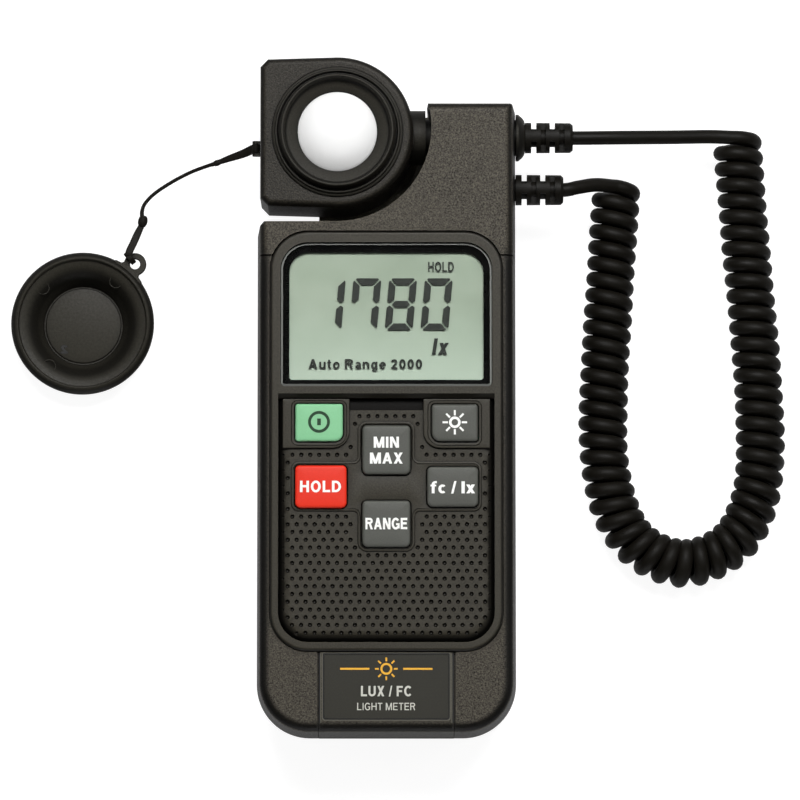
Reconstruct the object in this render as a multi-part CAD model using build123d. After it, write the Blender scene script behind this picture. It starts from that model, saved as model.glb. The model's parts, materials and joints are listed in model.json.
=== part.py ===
from build123d import *
import math
import os

# Light meter lying on its back. Millimetres. +Z out of the display face, +X to the right seen from
# the front, +Y towards the sensor head. The origin is the centre of the body's rear resting face.

# ---- Driving dimensions -------------------------------------------------------------------------
BODY_LENGTH = 166.8           # at the parting line
BODY_WIDTH = 68.0             # at the parting line
BODY_DRAFT = 1.0              # narrowing of each side from the parting line to front and rear
COVER_TOP = 36.0              # front face of the upper cover
FRAME_TOP = 35.2              # front face of the lower frame
PARTING = 19.0                # height of the parting line, and of the head's axis
BODY_WALL = 2.3
BOTTOM_CORNER = 14.0
TOP_CORNER = 1.6
FRONT_EDGE = 2.4              # rounding of the front edges
REAR_EDGE = 2.6
SEAM_Y = 42.3                 # seam between upper cover and lower frame
SEAM_GAP = 0.1                # half of the gap at a seam or at the parting line

CRADLE_X, CRADLE_Y, CRADLE_RADIUS = -13.1, 76.0, 24.9
SHELF_CHAMFER = 2.0
LEDGE_RADIUS = 19.5           # low lip of the rear cover below the head's neck
LEDGE_LEFT = -18.0

AXIS_Y = 75.5                 # the head swivels about a line along X at this Y, height PARTING
HEAD_X = -12.9                # centre of the head's round end
HEAD_RADIUS = 20.0
HEAD_LEFT = -33.2
HEAD_REAR, HEAD_FRONT = 8.0, 30.7
HEAD_WALL = 2.0
HEAD_EDGE = 1.7

COLLAR_RADIUS = 17.2
RIM_RADIUS = 15.0
RIM_TOP = 34.4
RECESS_RADIUS = 14.0
RECESS_FLOOR = 31.5
DOME_RADIUS = 10.4
DOME_TOP = 37.4

NECK_RADIUS = 7.2             # the part of the shaft that shows between head and body
NECK_END = 10.3
SHAFT_RADIUS = 4.8
SHAFT_BORE = 3.2
SHAFT_END = 35.6
RUNNING_GAP = 0.05            # radial clearance of everything that turns
LUG_RADIUS = 7.2
LUG_LOW, LUG_HIGH = 16.0, 18.0
CLIP_LOW, CLIP_HIGH = 29.4, 30.6
CLIP_RADIUS = 6.6
GROOVE_RADIUS = 4.1
PAD_LOW = 12.0                # underside of the friction pad
LUG_ANGLE = 225.0             # from +Y towards +Z, with the head at rest
LUG_HALF_ANGLE = 15.0
STOP_HALF_ANGLE = 29.5        # lug and stop together leave 270 degrees of turn

PANEL_HALF_WIDTH = 30.4
PANEL_BOTTOM, PANEL_TOP_Y = -61.6, 48.5
PANEL_CORNER = 10.0
PANEL_FRONT = 36.2
PANEL_FLOOR_LOW, PANEL_FLOOR_HIGH = 30.8, 32.4
PANEL_FIT = 0.15              # gap round the panel and round each key

LENS_HALF_WIDTH = 27.55
LENS_BOTTOM, LENS_TOP_Y = 7.8, 45.4
LENS_FRONT = 35.4
LENS_CORNER = 7.2
VIEW_HALF_WIDTH = 25.4
VIEW_BOTTOM, VIEW_TOP_Y = 9.6, 43.2

KEYPAD_HALF_WIDTH = 28.1
KEYPAD_BOTTOM, KEYPAD_TOP_Y = -59.1, 4.4
PLATE_FRONT = 35.0
ISLAND_FRONT = 35.35
PLATEAU_FRONT = 35.7
KEY_FRONT = 36.8
KEY_FLANGE_LOW, KEY_FLANGE_HIGH = 29.8, 30.7
KEY_TRAVEL = 1.0

# Key outlines: x low, x high, y low, y high, and the four corner radii
# (bottom left, bottom right, top right, top left).
KEYS = {
    "key_power": (-23.8, -11.3, -6.9, 3.0, (0.8, 2.2, 0.8, 0.8)),
    "key_backlight": (11.8, 23.9, -6.9, 2.9, (2.2, 0.8, 0.8, 0.8)),
    "key_min_max": (-6.3, 6.3, -15.55, -2.6, (1.6, 1.6, 1.2, 1.2)),
    "key_hold": (-23.8, -10.3, -24.3, -13.1, (1.4, 1.4, 1.2, 1.2)),
    "key_units": (10.6, 24.0, -24.0, -13.45, (1.4, 1.4, 1.2, 1.2)),
    "key_range": (-6.3, 6.3, -34.5, -22.3, (1.6, 1.6, 1.2, 1.2)),
}

TROUGH_FLOOR = 33.6           # dark band between the two plateaus
TROUGH_Y = 1.4
PLATEAU_INNER_X, PLATEAU_OUTER_X = 9.6, 27.1
PLATEAU_LOW_Y = -8.6
BAR_TOP_Y, BAR_LOW_Y = 5.75, 4.0   # sloping lower edge of the bar between display and keys

# Display stack, from the window down to the light guide
LENS_SEAT = 33.4
GLASS_LOW = 30.2
GUIDE_LOW = 27.6

BOARD_LOW, BOARD_HIGH = 25.0, 26.6
BOARD_SCREW_PLACES = [(-24.2, -52.0), (24.2, -52.0), (-20.0, 46.4), (20.0, 46.4)]
BOARD_SCREW_RADIUS = 0.9

BATTERY_HALF_WIDTH = 13.2     # 9 V block
BATTERY_BOTTOM, BATTERY_TOP_Y = -77.6, -31.1
BATTERY_REAR, BATTERY_FRONT = 2.6, 20.0
STUD_SPACING = 12.7
STUD_HEIGHT = 2.0
END_CAP_HALF_WIDTH = 17.6
END_CAP_TOP_Y = -61.85        # just short of the panel's ring
SEAM_GROOVE = 0.9             # width of the shallow groove along both sides of the end cap
SEAM_GROOVE_DEPTH = 0.5
END_CAP_FLOOR = 2.0           # lower edge of the cap's end wall
LABEL_HALF_WIDTH = 16.1
LABEL_BOTTOM = -79.0
LABEL_DEPTH = 0.35

RELIEF_RADIUS = 4.05
RELIEF_CORE = 2.4
RELIEF_LENGTH = 12.6
LOWER_EXIT_Y = 61.6
CABLE_RADIUS = 1.85
COIL_RADIUS = 6.5             # outside of the coil
COIL_CORE = 2.8               # open middle of the coil
COIL_HEIGHT = 6.6             # height of the coil's centre line above the table
# Centre line of the coil, from the end of the upper lead to the start of the lower one
COIL_LINE = [(93.4, 76.0), (95.5, 48.0), (98.4, 15.0), (99.2, -8.0), (94.6, -26.5), (78.5, -36.4),
             (62.5, -26.5), (57.6, -5.0), (58.0, 13.0), (59.8, 42.0), (61.4, 63.2)]

SCREW_RADIUS = 1.3
SCREW_PLACES = [(-24.5, -73.0), (24.5, -73.0), (-28.0, 44.8), (19.5, 56.0)]
HEAD_SCREW_PLACES = [(-29.4, 60.4), (-29.4, 90.6), (-3.5, 61.5), (-3.5, 89.5)]

CAP_X, CAP_Y = -80.8, 27.5
CAP_RADIUS = 19.0
CAP_DEPTH = 8.5
EYE_X, EYE_Y = -66.9, 43.3    # eye of the cap's tab
EYE_RADIUS = 1.35
TAB_RADIUS = 3.0
BAR_X, BAR_Y, BAR_Z = -34.6, 72.9, 17.0   # bar on the head that carries the lanyard
BAR_RADIUS = 0.6
EAR_OFFSET = 1.65             # middle of each ear from the middle of the bar
EAR_THICKNESS = 0.7
EAR_RADIUS = 0.95
STRAP_WIDTH = 2.2
HEAD_CRIMP = (-45.0, 69.8, 12.5)
CAP_CRIMP = (-64.9, 54.8, 7.6)
CORD_RADIUS = 0.5

# Loop through the eye: it hangs round the middle of the tab's ring, on the side of the lanyard
LOOP_ANGLE = 129.3
LOOP_MIDDLE = (EYE_RADIUS + TAB_RADIUS) / 2
LOOP_X = EYE_X + LOOP_MIDDLE * math.cos(math.radians(LOOP_ANGLE))
LOOP_Y = EYE_Y + LOOP_MIDDLE * math.sin(math.radians(LOOP_ANGLE))
LOOP_Z = CAP_DEPTH - 1.0

MIN = Align.MIN
CENTER = Align.CENTER


# ---- Shape helpers ------------------------------------------------------------------------------
def block(low, high):
    """Block between its lowest and its highest corner."""
    size = [b - a for a, b in zip(low, high)]
    return Pos(*low) * Box(*size, align=(MIN, MIN, MIN))


def post(x, y, z_low, z_high, radius):
    """Upright cylinder."""
    return Pos(x, y, z_low) * Cylinder(radius, z_high - z_low, align=(CENTER, CENTER, MIN))


def axle(x_low, x_high, radius, y=AXIS_Y, z=PARTING):
    """Cylinder along X, on the head's axis unless told otherwise."""
    along = Cylinder(radius, x_high - x_low, align=(CENTER, CENTER, MIN))
    return Pos(x_low, y, z) * Rot(0, 90, 0) * along


def rounded_outline(corners):
    """Flat outline from (x, y, corner radius) triples."""
    face = Polygon(*[(x, y) for x, y, _ in corners], align=None)
    for x, y, radius in corners:
        if radius:
            face = fillet(face.vertices().sort_by_distance((x, y, 0))[0], radius)
    return face


def rectangle(x_low, x_high, y_low, y_high, radii=(0, 0, 0, 0), grow=0.0):
    """Rectangle with its own radius at each corner, grown outwards by `grow`."""
    places = [(x_low - grow, y_low - grow), (x_high + grow, y_low - grow),
              (x_high + grow, y_high + grow), (x_low - grow, y_high + grow)]
    radii = [r + grow if r else 0 for r in radii]
    return rounded_outline([(x, y, r) for (x, y), r in zip(places, radii)])


def slab(face, z_low, z_high, taper=0.0):
    """Extrusion of a flat outline from z_low to z_high (which may lie below z_low)."""
    direction = 1 if z_high > z_low else -1
    return extrude(Pos(0, 0, z_low) * face, amount=abs(z_high - z_low), dir=(0, 0, direction),
                   taper=taper)


def top_edges(shape, z, tolerance=0.01):
    """Edges that lie in the level z."""
    return shape.edges().filter_by_position(Axis.Z, z - tolerance, z + tolerance)


def turned(profile, x, y):
    """Body of revolution about the upright line at (x, y); profile holds (radius, z) points."""
    face = make_face(Polyline(*[(r, 0, z) for r, z in profile], close=True))
    return Pos(x, y, 0) * revolve(face, Axis.Z)


def turned_along_x(profile, y=AXIS_Y, z=PARTING):
    """Body of revolution about a line along X; profile holds (x, radius) points."""
    face = make_face(Polyline(*[(x, r, 0) for x, r in profile], close=True))
    return Pos(0, y, z) * revolve(face, Axis.X)


def tube_along(points, radius, bore=0.0, tangents=None):
    """Round bar, or a pipe, along a smooth curve through the points."""
    path = Spline(*points, tangents=tangents) if tangents else Spline(*points)
    plane = Plane(origin=path @ 0, z_dir=path % 0)
    ring = plane * Circle(radius)
    if bore:
        ring = ring - plane * Circle(bore)
    return sweep(ring, path=path)


# ---- Body shells --------------------------------------------------------------------------------
def body_outline(inset=0.0):
    """Outline of the body, without the cradle."""
    half, end = BODY_WIDTH / 2 - inset, BODY_LENGTH / 2 - inset
    top = max(TOP_CORNER - inset, 0.3)
    bottom = BOTTOM_CORNER - inset
    return rectangle(-half, half, -end, end, (bottom, bottom, top, top))


def cradle_outline(inset=0.0):
    """The bay at the top left that the head swivels in."""
    radius = CRADLE_RADIUS + inset
    shelf = CRADLE_Y - radius
    top = BODY_LENGTH
    square = rectangle(-BODY_WIDTH, CRADLE_X, shelf, top)
    right = rectangle(CRADLE_X - 1, CRADLE_X + radius, CRADLE_Y, top)
    disc = Pos(CRADLE_X, CRADLE_Y) * Circle(radius)
    return square + disc + (right & disc)


def body_blank(z_end, edge):
    """Solid half of the body from the parting line to z_end, outside shape only."""
    height = abs(z_end - PARTING)
    draft = math.degrees(math.atan(BODY_DRAFT / height))
    start = PARTING + math.copysign(SEAM_GAP / 2, z_end - PARTING)
    solid = slab(body_outline(), start, z_end, taper=draft)
    solid = fillet(top_edges(solid, z_end), edge)
    low, high = min(start, z_end) - 1, max(start, z_end) + 1
    solid = solid - slab(cradle_outline(), low, high)
    shelf = CRADLE_Y - CRADLE_RADIUS
    corner = Polygon((-BODY_WIDTH / 2 - 1, shelf - SHELF_CHAMFER - 1), (-BODY_WIDTH / 2 - 1, shelf + 1),
                     (-BODY_WIDTH / 2 + SHELF_CHAMFER + 1, shelf + 1), align=None)
    return solid - slab(corner, low, high)


def body_cavity(z_low, z_high):
    inside = body_outline(BODY_WALL) - cradle_outline(BODY_WALL)
    return slab(inside, z_low, z_high)


def panel_outline(grow=0.0):
    radii = (PANEL_CORNER,) * 4
    return rectangle(-PANEL_HALF_WIDTH, PANEL_HALF_WIDTH, PANEL_BOTTOM, PANEL_TOP_Y, radii, grow)


def cradle_ledge():
    """Low dished lip that closes the gap between the head's round side and the cradle."""
    outer = CRADLE_RADIUS + 1
    profile = [(LEDGE_RADIUS, 0.8), (LEDGE_RADIUS, 3.5), (22.0, 3.9), (23.6, 5.2), (24.6, 7.6),
               (outer, 10.0), (outer, 0.8)]
    keep = block((LEDGE_LEFT, CRADLE_Y - outer - 1, 0), (BODY_WIDTH / 2, AXIS_Y + NECK_RADIUS, PARTING))
    return turned(profile, CRADLE_X, CRADLE_Y) & keep


def end_cap_grooves():
    """Shallow grooves over the two long seams of the battery end cap."""
    grooves = Compound(children=[
        block((side * END_CAP_HALF_WIDTH - SEAM_GROOVE / 2, -BODY_LENGTH, FRAME_TOP - SEAM_GROOVE_DEPTH),
              (side * END_CAP_HALF_WIDTH + SEAM_GROOVE / 2, END_CAP_TOP_Y + 1, FRAME_TOP + 1))
        for side in (-1, 1)])
    return grooves


def shaft_passage():
    """Bearing bore right through the top block, with room for the lug and for the clip."""
    bore = axle(CRADLE_X, BODY_WIDTH / 2 + 1, SHAFT_RADIUS + RUNNING_GAP)
    lug_room = axle(LUG_LOW - 0.5, LUG_HIGH + 0.5, LUG_RADIUS + 0.2)
    clip_room = axle(CLIP_LOW - 0.2, CLIP_HIGH + 0.4, CLIP_RADIUS + 0.15)
    return bore + (lug_room - shaft_stop()) + clip_room


def lower_cable_passage():
    return axle(BODY_WIDTH / 2 - BODY_WALL - 1, BODY_WIDTH / 2 + 1, 3.0, y=LOWER_EXIT_Y)


def bearing_rib(z_low, z_high):
    """Cross wall with the shaft's second bearing, left of the retaining clip."""
    return block((26.6, AXIS_Y - 12, z_low), (29.2, BODY_LENGTH / 2 - 1.5, z_high))


def screw_post(place, z_low, z_high, radius=3.2):
    return post(place[0], place[1], z_low, z_high, radius)


def side_gusset(z_low, z_high):
    """Ties the screw post beside the display to the left wall and the shelf wall."""
    return block((-32.5, 41.6, z_low), (-25.2, 49.4, z_high))


def upper_front_cover():
    above_seam = block((-BODY_WIDTH, SEAM_Y + SEAM_GAP, 0), (BODY_WIDTH, BODY_LENGTH, BODY_WIDTH))
    cover = body_blank(COVER_TOP, FRONT_EDGE) & above_seam
    cover = cover - body_cavity(0, COVER_TOP - BODY_WALL)
    start = PARTING + SEAM_GAP / 2
    cover = cover + bearing_rib(start, COVER_TOP - 1) + (shaft_stop() & half_space(start, COVER_TOP))
    cover = cover + screw_post(SCREW_PLACES[3], start, COVER_TOP - 1)
    post_top = PANEL_FLOOR_LOW - 0.8
    cover = cover - slab(panel_outline(PANEL_FIT), PARTING - 1, COVER_TOP + 1)
    cover = cover + (side_gusset(start, post_top) & above_seam & body_cavity(0, COVER_TOP))
    cover = cover - shaft_passage() - lower_cable_passage()
    for place in SCREW_PLACES[2:]:
        cover = cover - screw_post(place, 0, 28.5, SCREW_RADIUS + 0.03)
    return cover


def end_cap_space(gap):
    """Region of the case that the battery end cap fills."""
    half = END_CAP_HALF_WIDTH + gap
    top_y = END_CAP_TOP_Y + gap
    end_wall = block((-half, -BODY_LENGTH, END_CAP_FLOOR - gap),
                     (half, -BODY_LENGTH / 2 + BODY_WALL + gap, BODY_WIDTH))
    front = block((-half, -BODY_LENGTH, FRAME_TOP - BODY_WALL - gap), (half, top_y, BODY_WIDTH))
    return end_wall + front


def lower_front_frame():
    below_seam = block((-BODY_WIDTH, -BODY_LENGTH, 0), (BODY_WIDTH, SEAM_Y - SEAM_GAP, BODY_WIDTH))
    frame = body_blank(FRAME_TOP, FRONT_EDGE) & below_seam
    frame = frame - body_cavity(0, FRAME_TOP - BODY_WALL)
    start = PARTING + SEAM_GAP / 2
    for place in SCREW_PLACES[:2]:
        frame = frame + screw_post(place, start, FRAME_TOP - 1)
        frame = frame - screw_post(place, 0, 28.5, SCREW_RADIUS + 0.03)
    frame = frame - slab(panel_outline(PANEL_FIT), PARTING - 1, FRAME_TOP + 1)
    return frame - end_cap_space(PANEL_FIT) - end_cap_grooves()


def rear_cover():
    cover = body_blank(0, REAR_EDGE)
    end = PARTING - SEAM_GAP / 2
    cover = cover - body_cavity(BODY_WALL, PARTING + 1)
    cover = cover + bearing_rib(1, end) + (side_gusset(1, end) & slab(body_outline(1), 0, end))
    for place in SCREW_PLACES:
        cover = cover + screw_post(place, 1, end)
    cover = cover + (shaft_stop() & half_space(0, end)) + pad_seat() + cradle_ledge()
    for side in (-1, 1):
        rail = block((side * 15.0 - 0.8, -74, 1), (side * 15.0 + 0.8, -30, 12))
        cover = cover + rail
    cover = cover + block((-15.8, -28.6, 1), (15.8, -27.0, 8))
    cover = cover - shaft_passage() - lower_cable_passage()
    for place in SCREW_PLACES:
        cover = cover - screw_post(place, -1, PARTING + 1, SCREW_RADIUS + 0.15)
        cover = cover - screw_post(place, -1, 3.0, 2.9)
    cover = cover - slab(rear_label_outline(0.15), -1, LABEL_DEPTH)
    return cover - end_cap_space(PANEL_FIT)


def shaft_stop():
    """Wedge on the end wall that the shaft's lug meets at both ends of its turn."""
    reach = BODY_LENGTH / 2 - 0.5 - AXIS_Y
    spread = reach * math.tan(math.radians(STOP_HALF_ANGLE))
    x = LUG_LOW - 0.6
    wedge = Polyline((x, AXIS_Y, PARTING), (x, AXIS_Y + reach, PARTING - spread),
                     (x, AXIS_Y + reach, PARTING + spread), close=True)
    solid = extrude(make_face(wedge), amount=LUG_HIGH - LUG_LOW + 1.2, dir=(1, 0, 0))
    return solid - axle(CRADLE_X, BODY_WIDTH / 2, SHAFT_RADIUS + 0.2)


def half_space(z_low, z_high):
    return block((-BODY_WIDTH, -BODY_LENGTH, z_low), (BODY_WIDTH, BODY_LENGTH, z_high))


def pad_seat():
    return block((20.4, AXIS_Y - 4.0, 1), (25.4, AXIS_Y + 4.0, PAD_LOW))


def rear_label_outline(grow=0.0):
    return rectangle(-22, 22, -20, 8, (2, 2, 2, 2), grow)


def rear_label():
    return slab(rear_label_outline(), 0.1, LABEL_DEPTH)


def case_screws():
    """Self-tapping screws from the rear into the front posts."""
    screws = []
    for x, y in SCREW_PLACES:
        head = post(x, y, 0.9, 3.0, 2.6) - block((x - 2, y - 0.35, 0), (x + 2, y + 0.35, 1.7))
        head = head - block((x - 0.35, y - 2, 0), (x + 0.35, y + 2, 1.7))
        screws.append(head + post(x, y, 3.0, 27.5, SCREW_RADIUS))
    return Compound(children=screws)


# ---- Battery and its end cap --------------------------------------------------------------------
def battery_end_cap():
    solid = (body_blank(FRAME_TOP, FRONT_EDGE) + body_blank(0, REAR_EDGE)
             + slab(body_outline(), PARTING - 1, PARTING + 1))
    cap = solid & end_cap_space(0)
    lip = block((-END_CAP_HALF_WIDTH, -BODY_LENGTH / 2 + BODY_WALL, FRAME_TOP - BODY_WALL),
                (END_CAP_HALF_WIDTH, END_CAP_TOP_Y + 0.1, FRAME_TOP - BODY_WALL + 0.1))
    cap = cap - lip
    for side in (-1, 1):
        tongue = block((side * 12.5 - 2, -BODY_LENGTH / 2 + 1, 29.6),
                       (side * 12.5 + 2, -66, FRAME_TOP - BODY_WALL + 0.3))
        cap = cap + tongue
    cap = cap - slab(name_label_outline(0.1), FRAME_TOP - LABEL_DEPTH, FRAME_TOP + 1)
    return cap - end_cap_grooves()


def name_label_outline(grow=0.0):
    return rectangle(-LABEL_HALF_WIDTH, LABEL_HALF_WIDTH, LABEL_BOTTOM, END_CAP_TOP_Y - 0.6,
                     (1, 1, 0.5, 0.5), grow)


def name_label():
    return slab(name_label_outline(), FRAME_TOP - LABEL_DEPTH, FRAME_TOP - 0.1)


def battery():
    """9 V block, terminals towards the head."""
    can = block((-BATTERY_HALF_WIDTH, BATTERY_BOTTOM, BATTERY_REAR),
                (BATTERY_HALF_WIDTH, BATTERY_TOP_Y, BATTERY_FRONT))
    can = fillet(can.edges().filter_by(Axis.Y), 2.0)
    middle = (BATTERY_REAR + BATTERY_FRONT) / 2
    for side in (-1, 1):
        stud = Pos(side * STUD_SPACING / 2, BATTERY_TOP_Y, middle) * Rot(-90, 0, 0)
        can = can + stud * Cylinder(2.8, STUD_HEIGHT, align=(CENTER, CENTER, MIN))
    return can


def battery_snap():
    """Clip pressed over the two studs; the leads leave its far side."""
    low_y, high_y = BATTERY_TOP_Y + 0.2, BATTERY_TOP_Y + STUD_HEIGHT + 0.4
    clip = fillet(block((-12.6, low_y, 5.0), (12.6, high_y, 17.6)).edges().filter_by(Axis.Y), 2.0)
    middle = (BATTERY_REAR + BATTERY_FRONT) / 2
    for side in (-1, 1):
        socket = Pos(side * STUD_SPACING / 2, low_y - 0.6, middle) * Rot(-90, 0, 0)
        clip = clip - socket * Cylinder(2.85, STUD_HEIGHT + 0.45, align=(CENTER, CENTER, MIN))
    return clip


def battery_leads():
    leads = []
    for side in (-1, 1):
        x = side * 9.0
        points = [(x, -28.6, 15.0), (x, -24.0, 18.5), (x, -23.0, BOARD_LOW - 0.1)]
        leads.append(tube_along(points, 0.7, tangents=[(0, 1, 0), (0, 0, 1)]))
    return Compound(children=leads)


# ---- Panel, display and keys --------------------------------------------------------------------
def panel_bezel():
    """Raised ring round the display and the keys, with the floor that carries both."""
    ring = slab(panel_outline(), PANEL_FLOOR_LOW, PANEL_FRONT)
    ring = fillet(top_edges(ring, PANEL_FRONT), 0.9)
    flange_half = BODY_WIDTH / 2 - BODY_WALL - 0.3
    flange = rectangle(-flange_half, flange_half, PANEL_BOTTOM - 0.9, 48.5,
                       (10.9, 10.9, 1, 1))
    bezel = ring + slab(flange, PANEL_FLOOR_LOW, PANEL_FLOOR_HIGH)
    lens_bay = rectangle(-LENS_HALF_WIDTH, LENS_HALF_WIDTH, LENS_BOTTOM, LENS_TOP_Y,
                         (1, 1, LENS_CORNER, LENS_CORNER), PANEL_FIT)
    key_bay = rectangle(-KEYPAD_HALF_WIDTH, KEYPAD_HALF_WIDTH, KEYPAD_BOTTOM, KEYPAD_TOP_Y,
                        (7.8, 7.8, 0.5, 0.5), PANEL_FIT)
    bezel = bezel - slab(lens_bay, PANEL_FLOOR_HIGH, PANEL_FRONT + 1)
    bezel = bezel - slab(key_bay, PANEL_FLOOR_HIGH, PANEL_FRONT + 1)
    slope_width = KEYPAD_HALF_WIDTH + PANEL_FIT
    slope = Polyline((-slope_width, BAR_TOP_Y, PANEL_FRONT), (-slope_width, BAR_TOP_Y, PANEL_FRONT + 1),
                     (-slope_width, BAR_LOW_Y, PANEL_FRONT + 1), (-slope_width, BAR_LOW_Y, PLATE_FRONT),
                     close=True)
    bezel = bezel - extrude(make_face(slope), amount=2 * slope_width, dir=(1, 0, 0))
    glass_hole = rectangle(-26.6, 26.6, 8.4, 44.4)
    bezel = bezel - slab(glass_hole, PANEL_FLOOR_LOW - 1, PANEL_FLOOR_HIGH + 1)
    for x_low, x_high, y_low, y_high, radii in KEYS.values():
        hole = rectangle(x_low, x_high, y_low, y_high, radii, PANEL_FIT + 0.1)
        bezel = bezel - slab(hole, PANEL_FLOOR_LOW - 1, PANEL_FLOOR_HIGH + 1)
    for x, y in BOARD_SCREW_PLACES:
        bezel = bezel + post(x, y, BOARD_HIGH, PANEL_FLOOR_HIGH - 0.5, 2.0)
        bezel = bezel - post(x, y, BOARD_HIGH - 1, 31.4, BOARD_SCREW_RADIUS + 0.03)
    return bezel


def plateau(side):
    """Raised field round one of the two upper keys; side is -1 left, 1 right."""
    inner, outer = side * PLATEAU_INNER_X, side * PLATEAU_OUTER_X
    top = KEYPAD_TOP_Y - 0.05
    corners = [(outer, PLATEAU_LOW_Y, 0.4), (inner, PLATEAU_LOW_Y, 4.4), (inner, top, 0.4),
               (outer, top, 0.4)]
    return rounded_outline(corners if side < 0 else corners[::-1])


def island_outline():
    """Smooth field shared by the four lower keys."""
    wide = rectangle(-24.9, 24.9, -25.1, -11.9, (2.2, 2.2, 2.2, 2.2))
    tall = rectangle(-7.5, 7.5, -35.6, -1.4, (2.5, 2.5, 2.5, 2.5))
    return wide + tall


def keypad_faceplate():
    base = rectangle(-KEYPAD_HALF_WIDTH, KEYPAD_HALF_WIDTH, KEYPAD_BOTTOM, KEYPAD_TOP_Y,
                     (7.8, 7.8, 0.5, 0.5))
    plate = slab(base, PANEL_FLOOR_HIGH, PLATE_FRONT)
    plate = fillet(top_edges(plate, PLATE_FRONT), 1.5)
    trough = rectangle(-PLATEAU_INNER_X, PLATEAU_INNER_X, TROUGH_Y, KEYPAD_TOP_Y + 1)
    plate = plate - slab(trough, TROUGH_FLOOR, PLATE_FRONT + 1)
    for side in (-1, 1):
        plate = plate + slab(plateau(side), PANEL_FLOOR_HIGH, PLATEAU_FRONT)
    plate = plate + slab(island_outline(), PANEL_FLOOR_HIGH, ISLAND_FRONT)
    for x_low, x_high, y_low, y_high, radii in KEYS.values():
        hole = rectangle(x_low, x_high, y_low, y_high, radii, PANEL_FIT)
        plate = plate - slab(hole, PANEL_FLOOR_HIGH - 1, KEY_FRONT)
    return plate


def key(x_low, x_high, y_low, y_high, radii):
    cap = slab(rectangle(x_low, x_high, y_low, y_high, radii), KEY_FLANGE_LOW, KEY_FRONT)
    cap = fillet(top_edges(cap, KEY_FRONT), 0.6)
    flange = rectangle(x_low, x_high, y_low, y_high, radii, 0.7)
    return cap + slab(flange, KEY_FLANGE_LOW, KEY_FLANGE_HIGH)


def keypad_mat():
    """Silicone mat with one dome below each key, drawn pressed."""
    base = rectangle(-22.0, 22.0, -36.5, 4.0, (2, 2, 2, 2))
    mat = slab(base, BOARD_HIGH, BOARD_HIGH + 1.2)
    dome_top = KEY_FLANGE_LOW - KEY_TRAVEL - 0.05
    for x_low, x_high, y_low, y_high, _ in KEYS.values():
        centre = ((x_low + x_high) / 2, (y_low + y_high) / 2)
        mat = mat + post(*centre, BOARD_HIGH, dome_top, 3.5)
    return mat


def display_lens():
    pane = slab(rectangle(-LENS_HALF_WIDTH, LENS_HALF_WIDTH, LENS_BOTTOM, LENS_TOP_Y,
                          (1, 1, LENS_CORNER, LENS_CORNER)), LENS_SEAT, LENS_FRONT)
    return chamfer(top_edges(pane, LENS_FRONT), 0.5)


def display_mask():
    """Black frame printed on a film behind the window."""
    outer = rectangle(-LENS_HALF_WIDTH, LENS_HALF_WIDTH, LENS_BOTTOM, LENS_TOP_Y,
                      (1, 1, LENS_CORNER, LENS_CORNER), -0.1)
    view = rectangle(-VIEW_HALF_WIDTH, VIEW_HALF_WIDTH, VIEW_BOTTOM, VIEW_TOP_Y, (0.8, 0.8, 5.3, 5.3))
    return slab(outer - view, PANEL_FLOOR_HIGH, LENS_SEAT)


def lcd_glass():
    return block((-26.4, 8.6, GLASS_LOW), (26.4, 44.2, PANEL_FLOOR_HIGH))


def backlight_panel():
    return block((-26.0, 10.7, GUIDE_LOW), (26.0, 42.1, GLASS_LOW))


def contact_strips():
    """Conductive rubber strips between the board and both long edges of the display."""
    strips = [block((-23.0, y - 0.8, BOARD_HIGH), (23.0, y + 0.8, GLASS_LOW)) for y in (9.6, 43.2)]
    return Compound(children=strips)


# ---- Circuit board ------------------------------------------------------------------------------
def main_board():
    board = slab(rectangle(-27, 27, -57, 40.5, (4, 4, 1, 1)) + rectangle(-23.6, 23.6, 40, 47.9),
                 BOARD_LOW, BOARD_HIGH)
    for x, y in BOARD_SCREW_PLACES:
        board = board - post(x, y, 0, 40, 1.1)
    return board


def board_components():
    """Processor, amplifier, buzzer, capacitors and trimmers below the board."""
    top = BOARD_LOW
    chips = [block((-7, 16, top - 2.2), (7, 30, top)), block((10, -6, top - 1.8), (16, -1, top)),
             block((-18, 2, top - 1.8), (-12, 6, top)), post(14, 12, top - 5.5, top, 5.0),
             block((18, 32, top - 3.5), (24, 38, top))]
    chips += [post(x, -12, top - 4.5, top, 2.0) for x in (-20, -14)]
    chips += [block((x, -16, top - 1.0), (x + 3.2, -14.4, top)) for x in (0, 6, 12)]
    return Compound(children=chips)


def board_screws():
    """Screws from below the board into the bezel's posts."""
    screws = []
    for x, y in BOARD_SCREW_PLACES:
        head = post(x, y, BOARD_LOW - 1.3, BOARD_LOW, 1.8)
        screws.append(head + post(x, y, BOARD_LOW, 31.0, BOARD_SCREW_RADIUS))
    return Compound(children=screws)


# ---- Sensor head --------------------------------------------------------------------------------
def head_outline(inset=0.0):
    radius = HEAD_RADIUS - inset
    left = HEAD_LEFT + inset
    half_left = radius - 0.6
    side = Polygon((left, AXIS_Y - half_left), (HEAD_X, AXIS_Y - radius), (HEAD_X, AXIS_Y + radius),
                   (left, AXIS_Y + half_left), align=None)
    return side + Pos(HEAD_X, AXIS_Y) * Circle(radius)


def head_blank(z_end):
    start = PARTING + math.copysign(SEAM_GAP / 2, z_end - PARTING)
    solid = slab(head_outline(), start, z_end)
    upright = solid.edges().filter_by(Axis.Z)
    solid = chamfer(upright.filter_by_position(Axis.X, HEAD_LEFT - 0.1, HEAD_LEFT + 0.1), SHELF_CHAMFER)
    return fillet(top_edges(solid, z_end), HEAD_EDGE)


def head_cavity(z_low, z_high):
    return slab(head_outline(HEAD_WALL), z_low, z_high)


def neck_saddle(z_low, z_high):
    """Solid mass inside the head that grips the shaft."""
    return block((0.6, AXIS_Y - 11, z_low), (7.5, AXIS_Y + 11, z_high)) & slab(
        head_outline(0.5), z_low, z_high)


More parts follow.
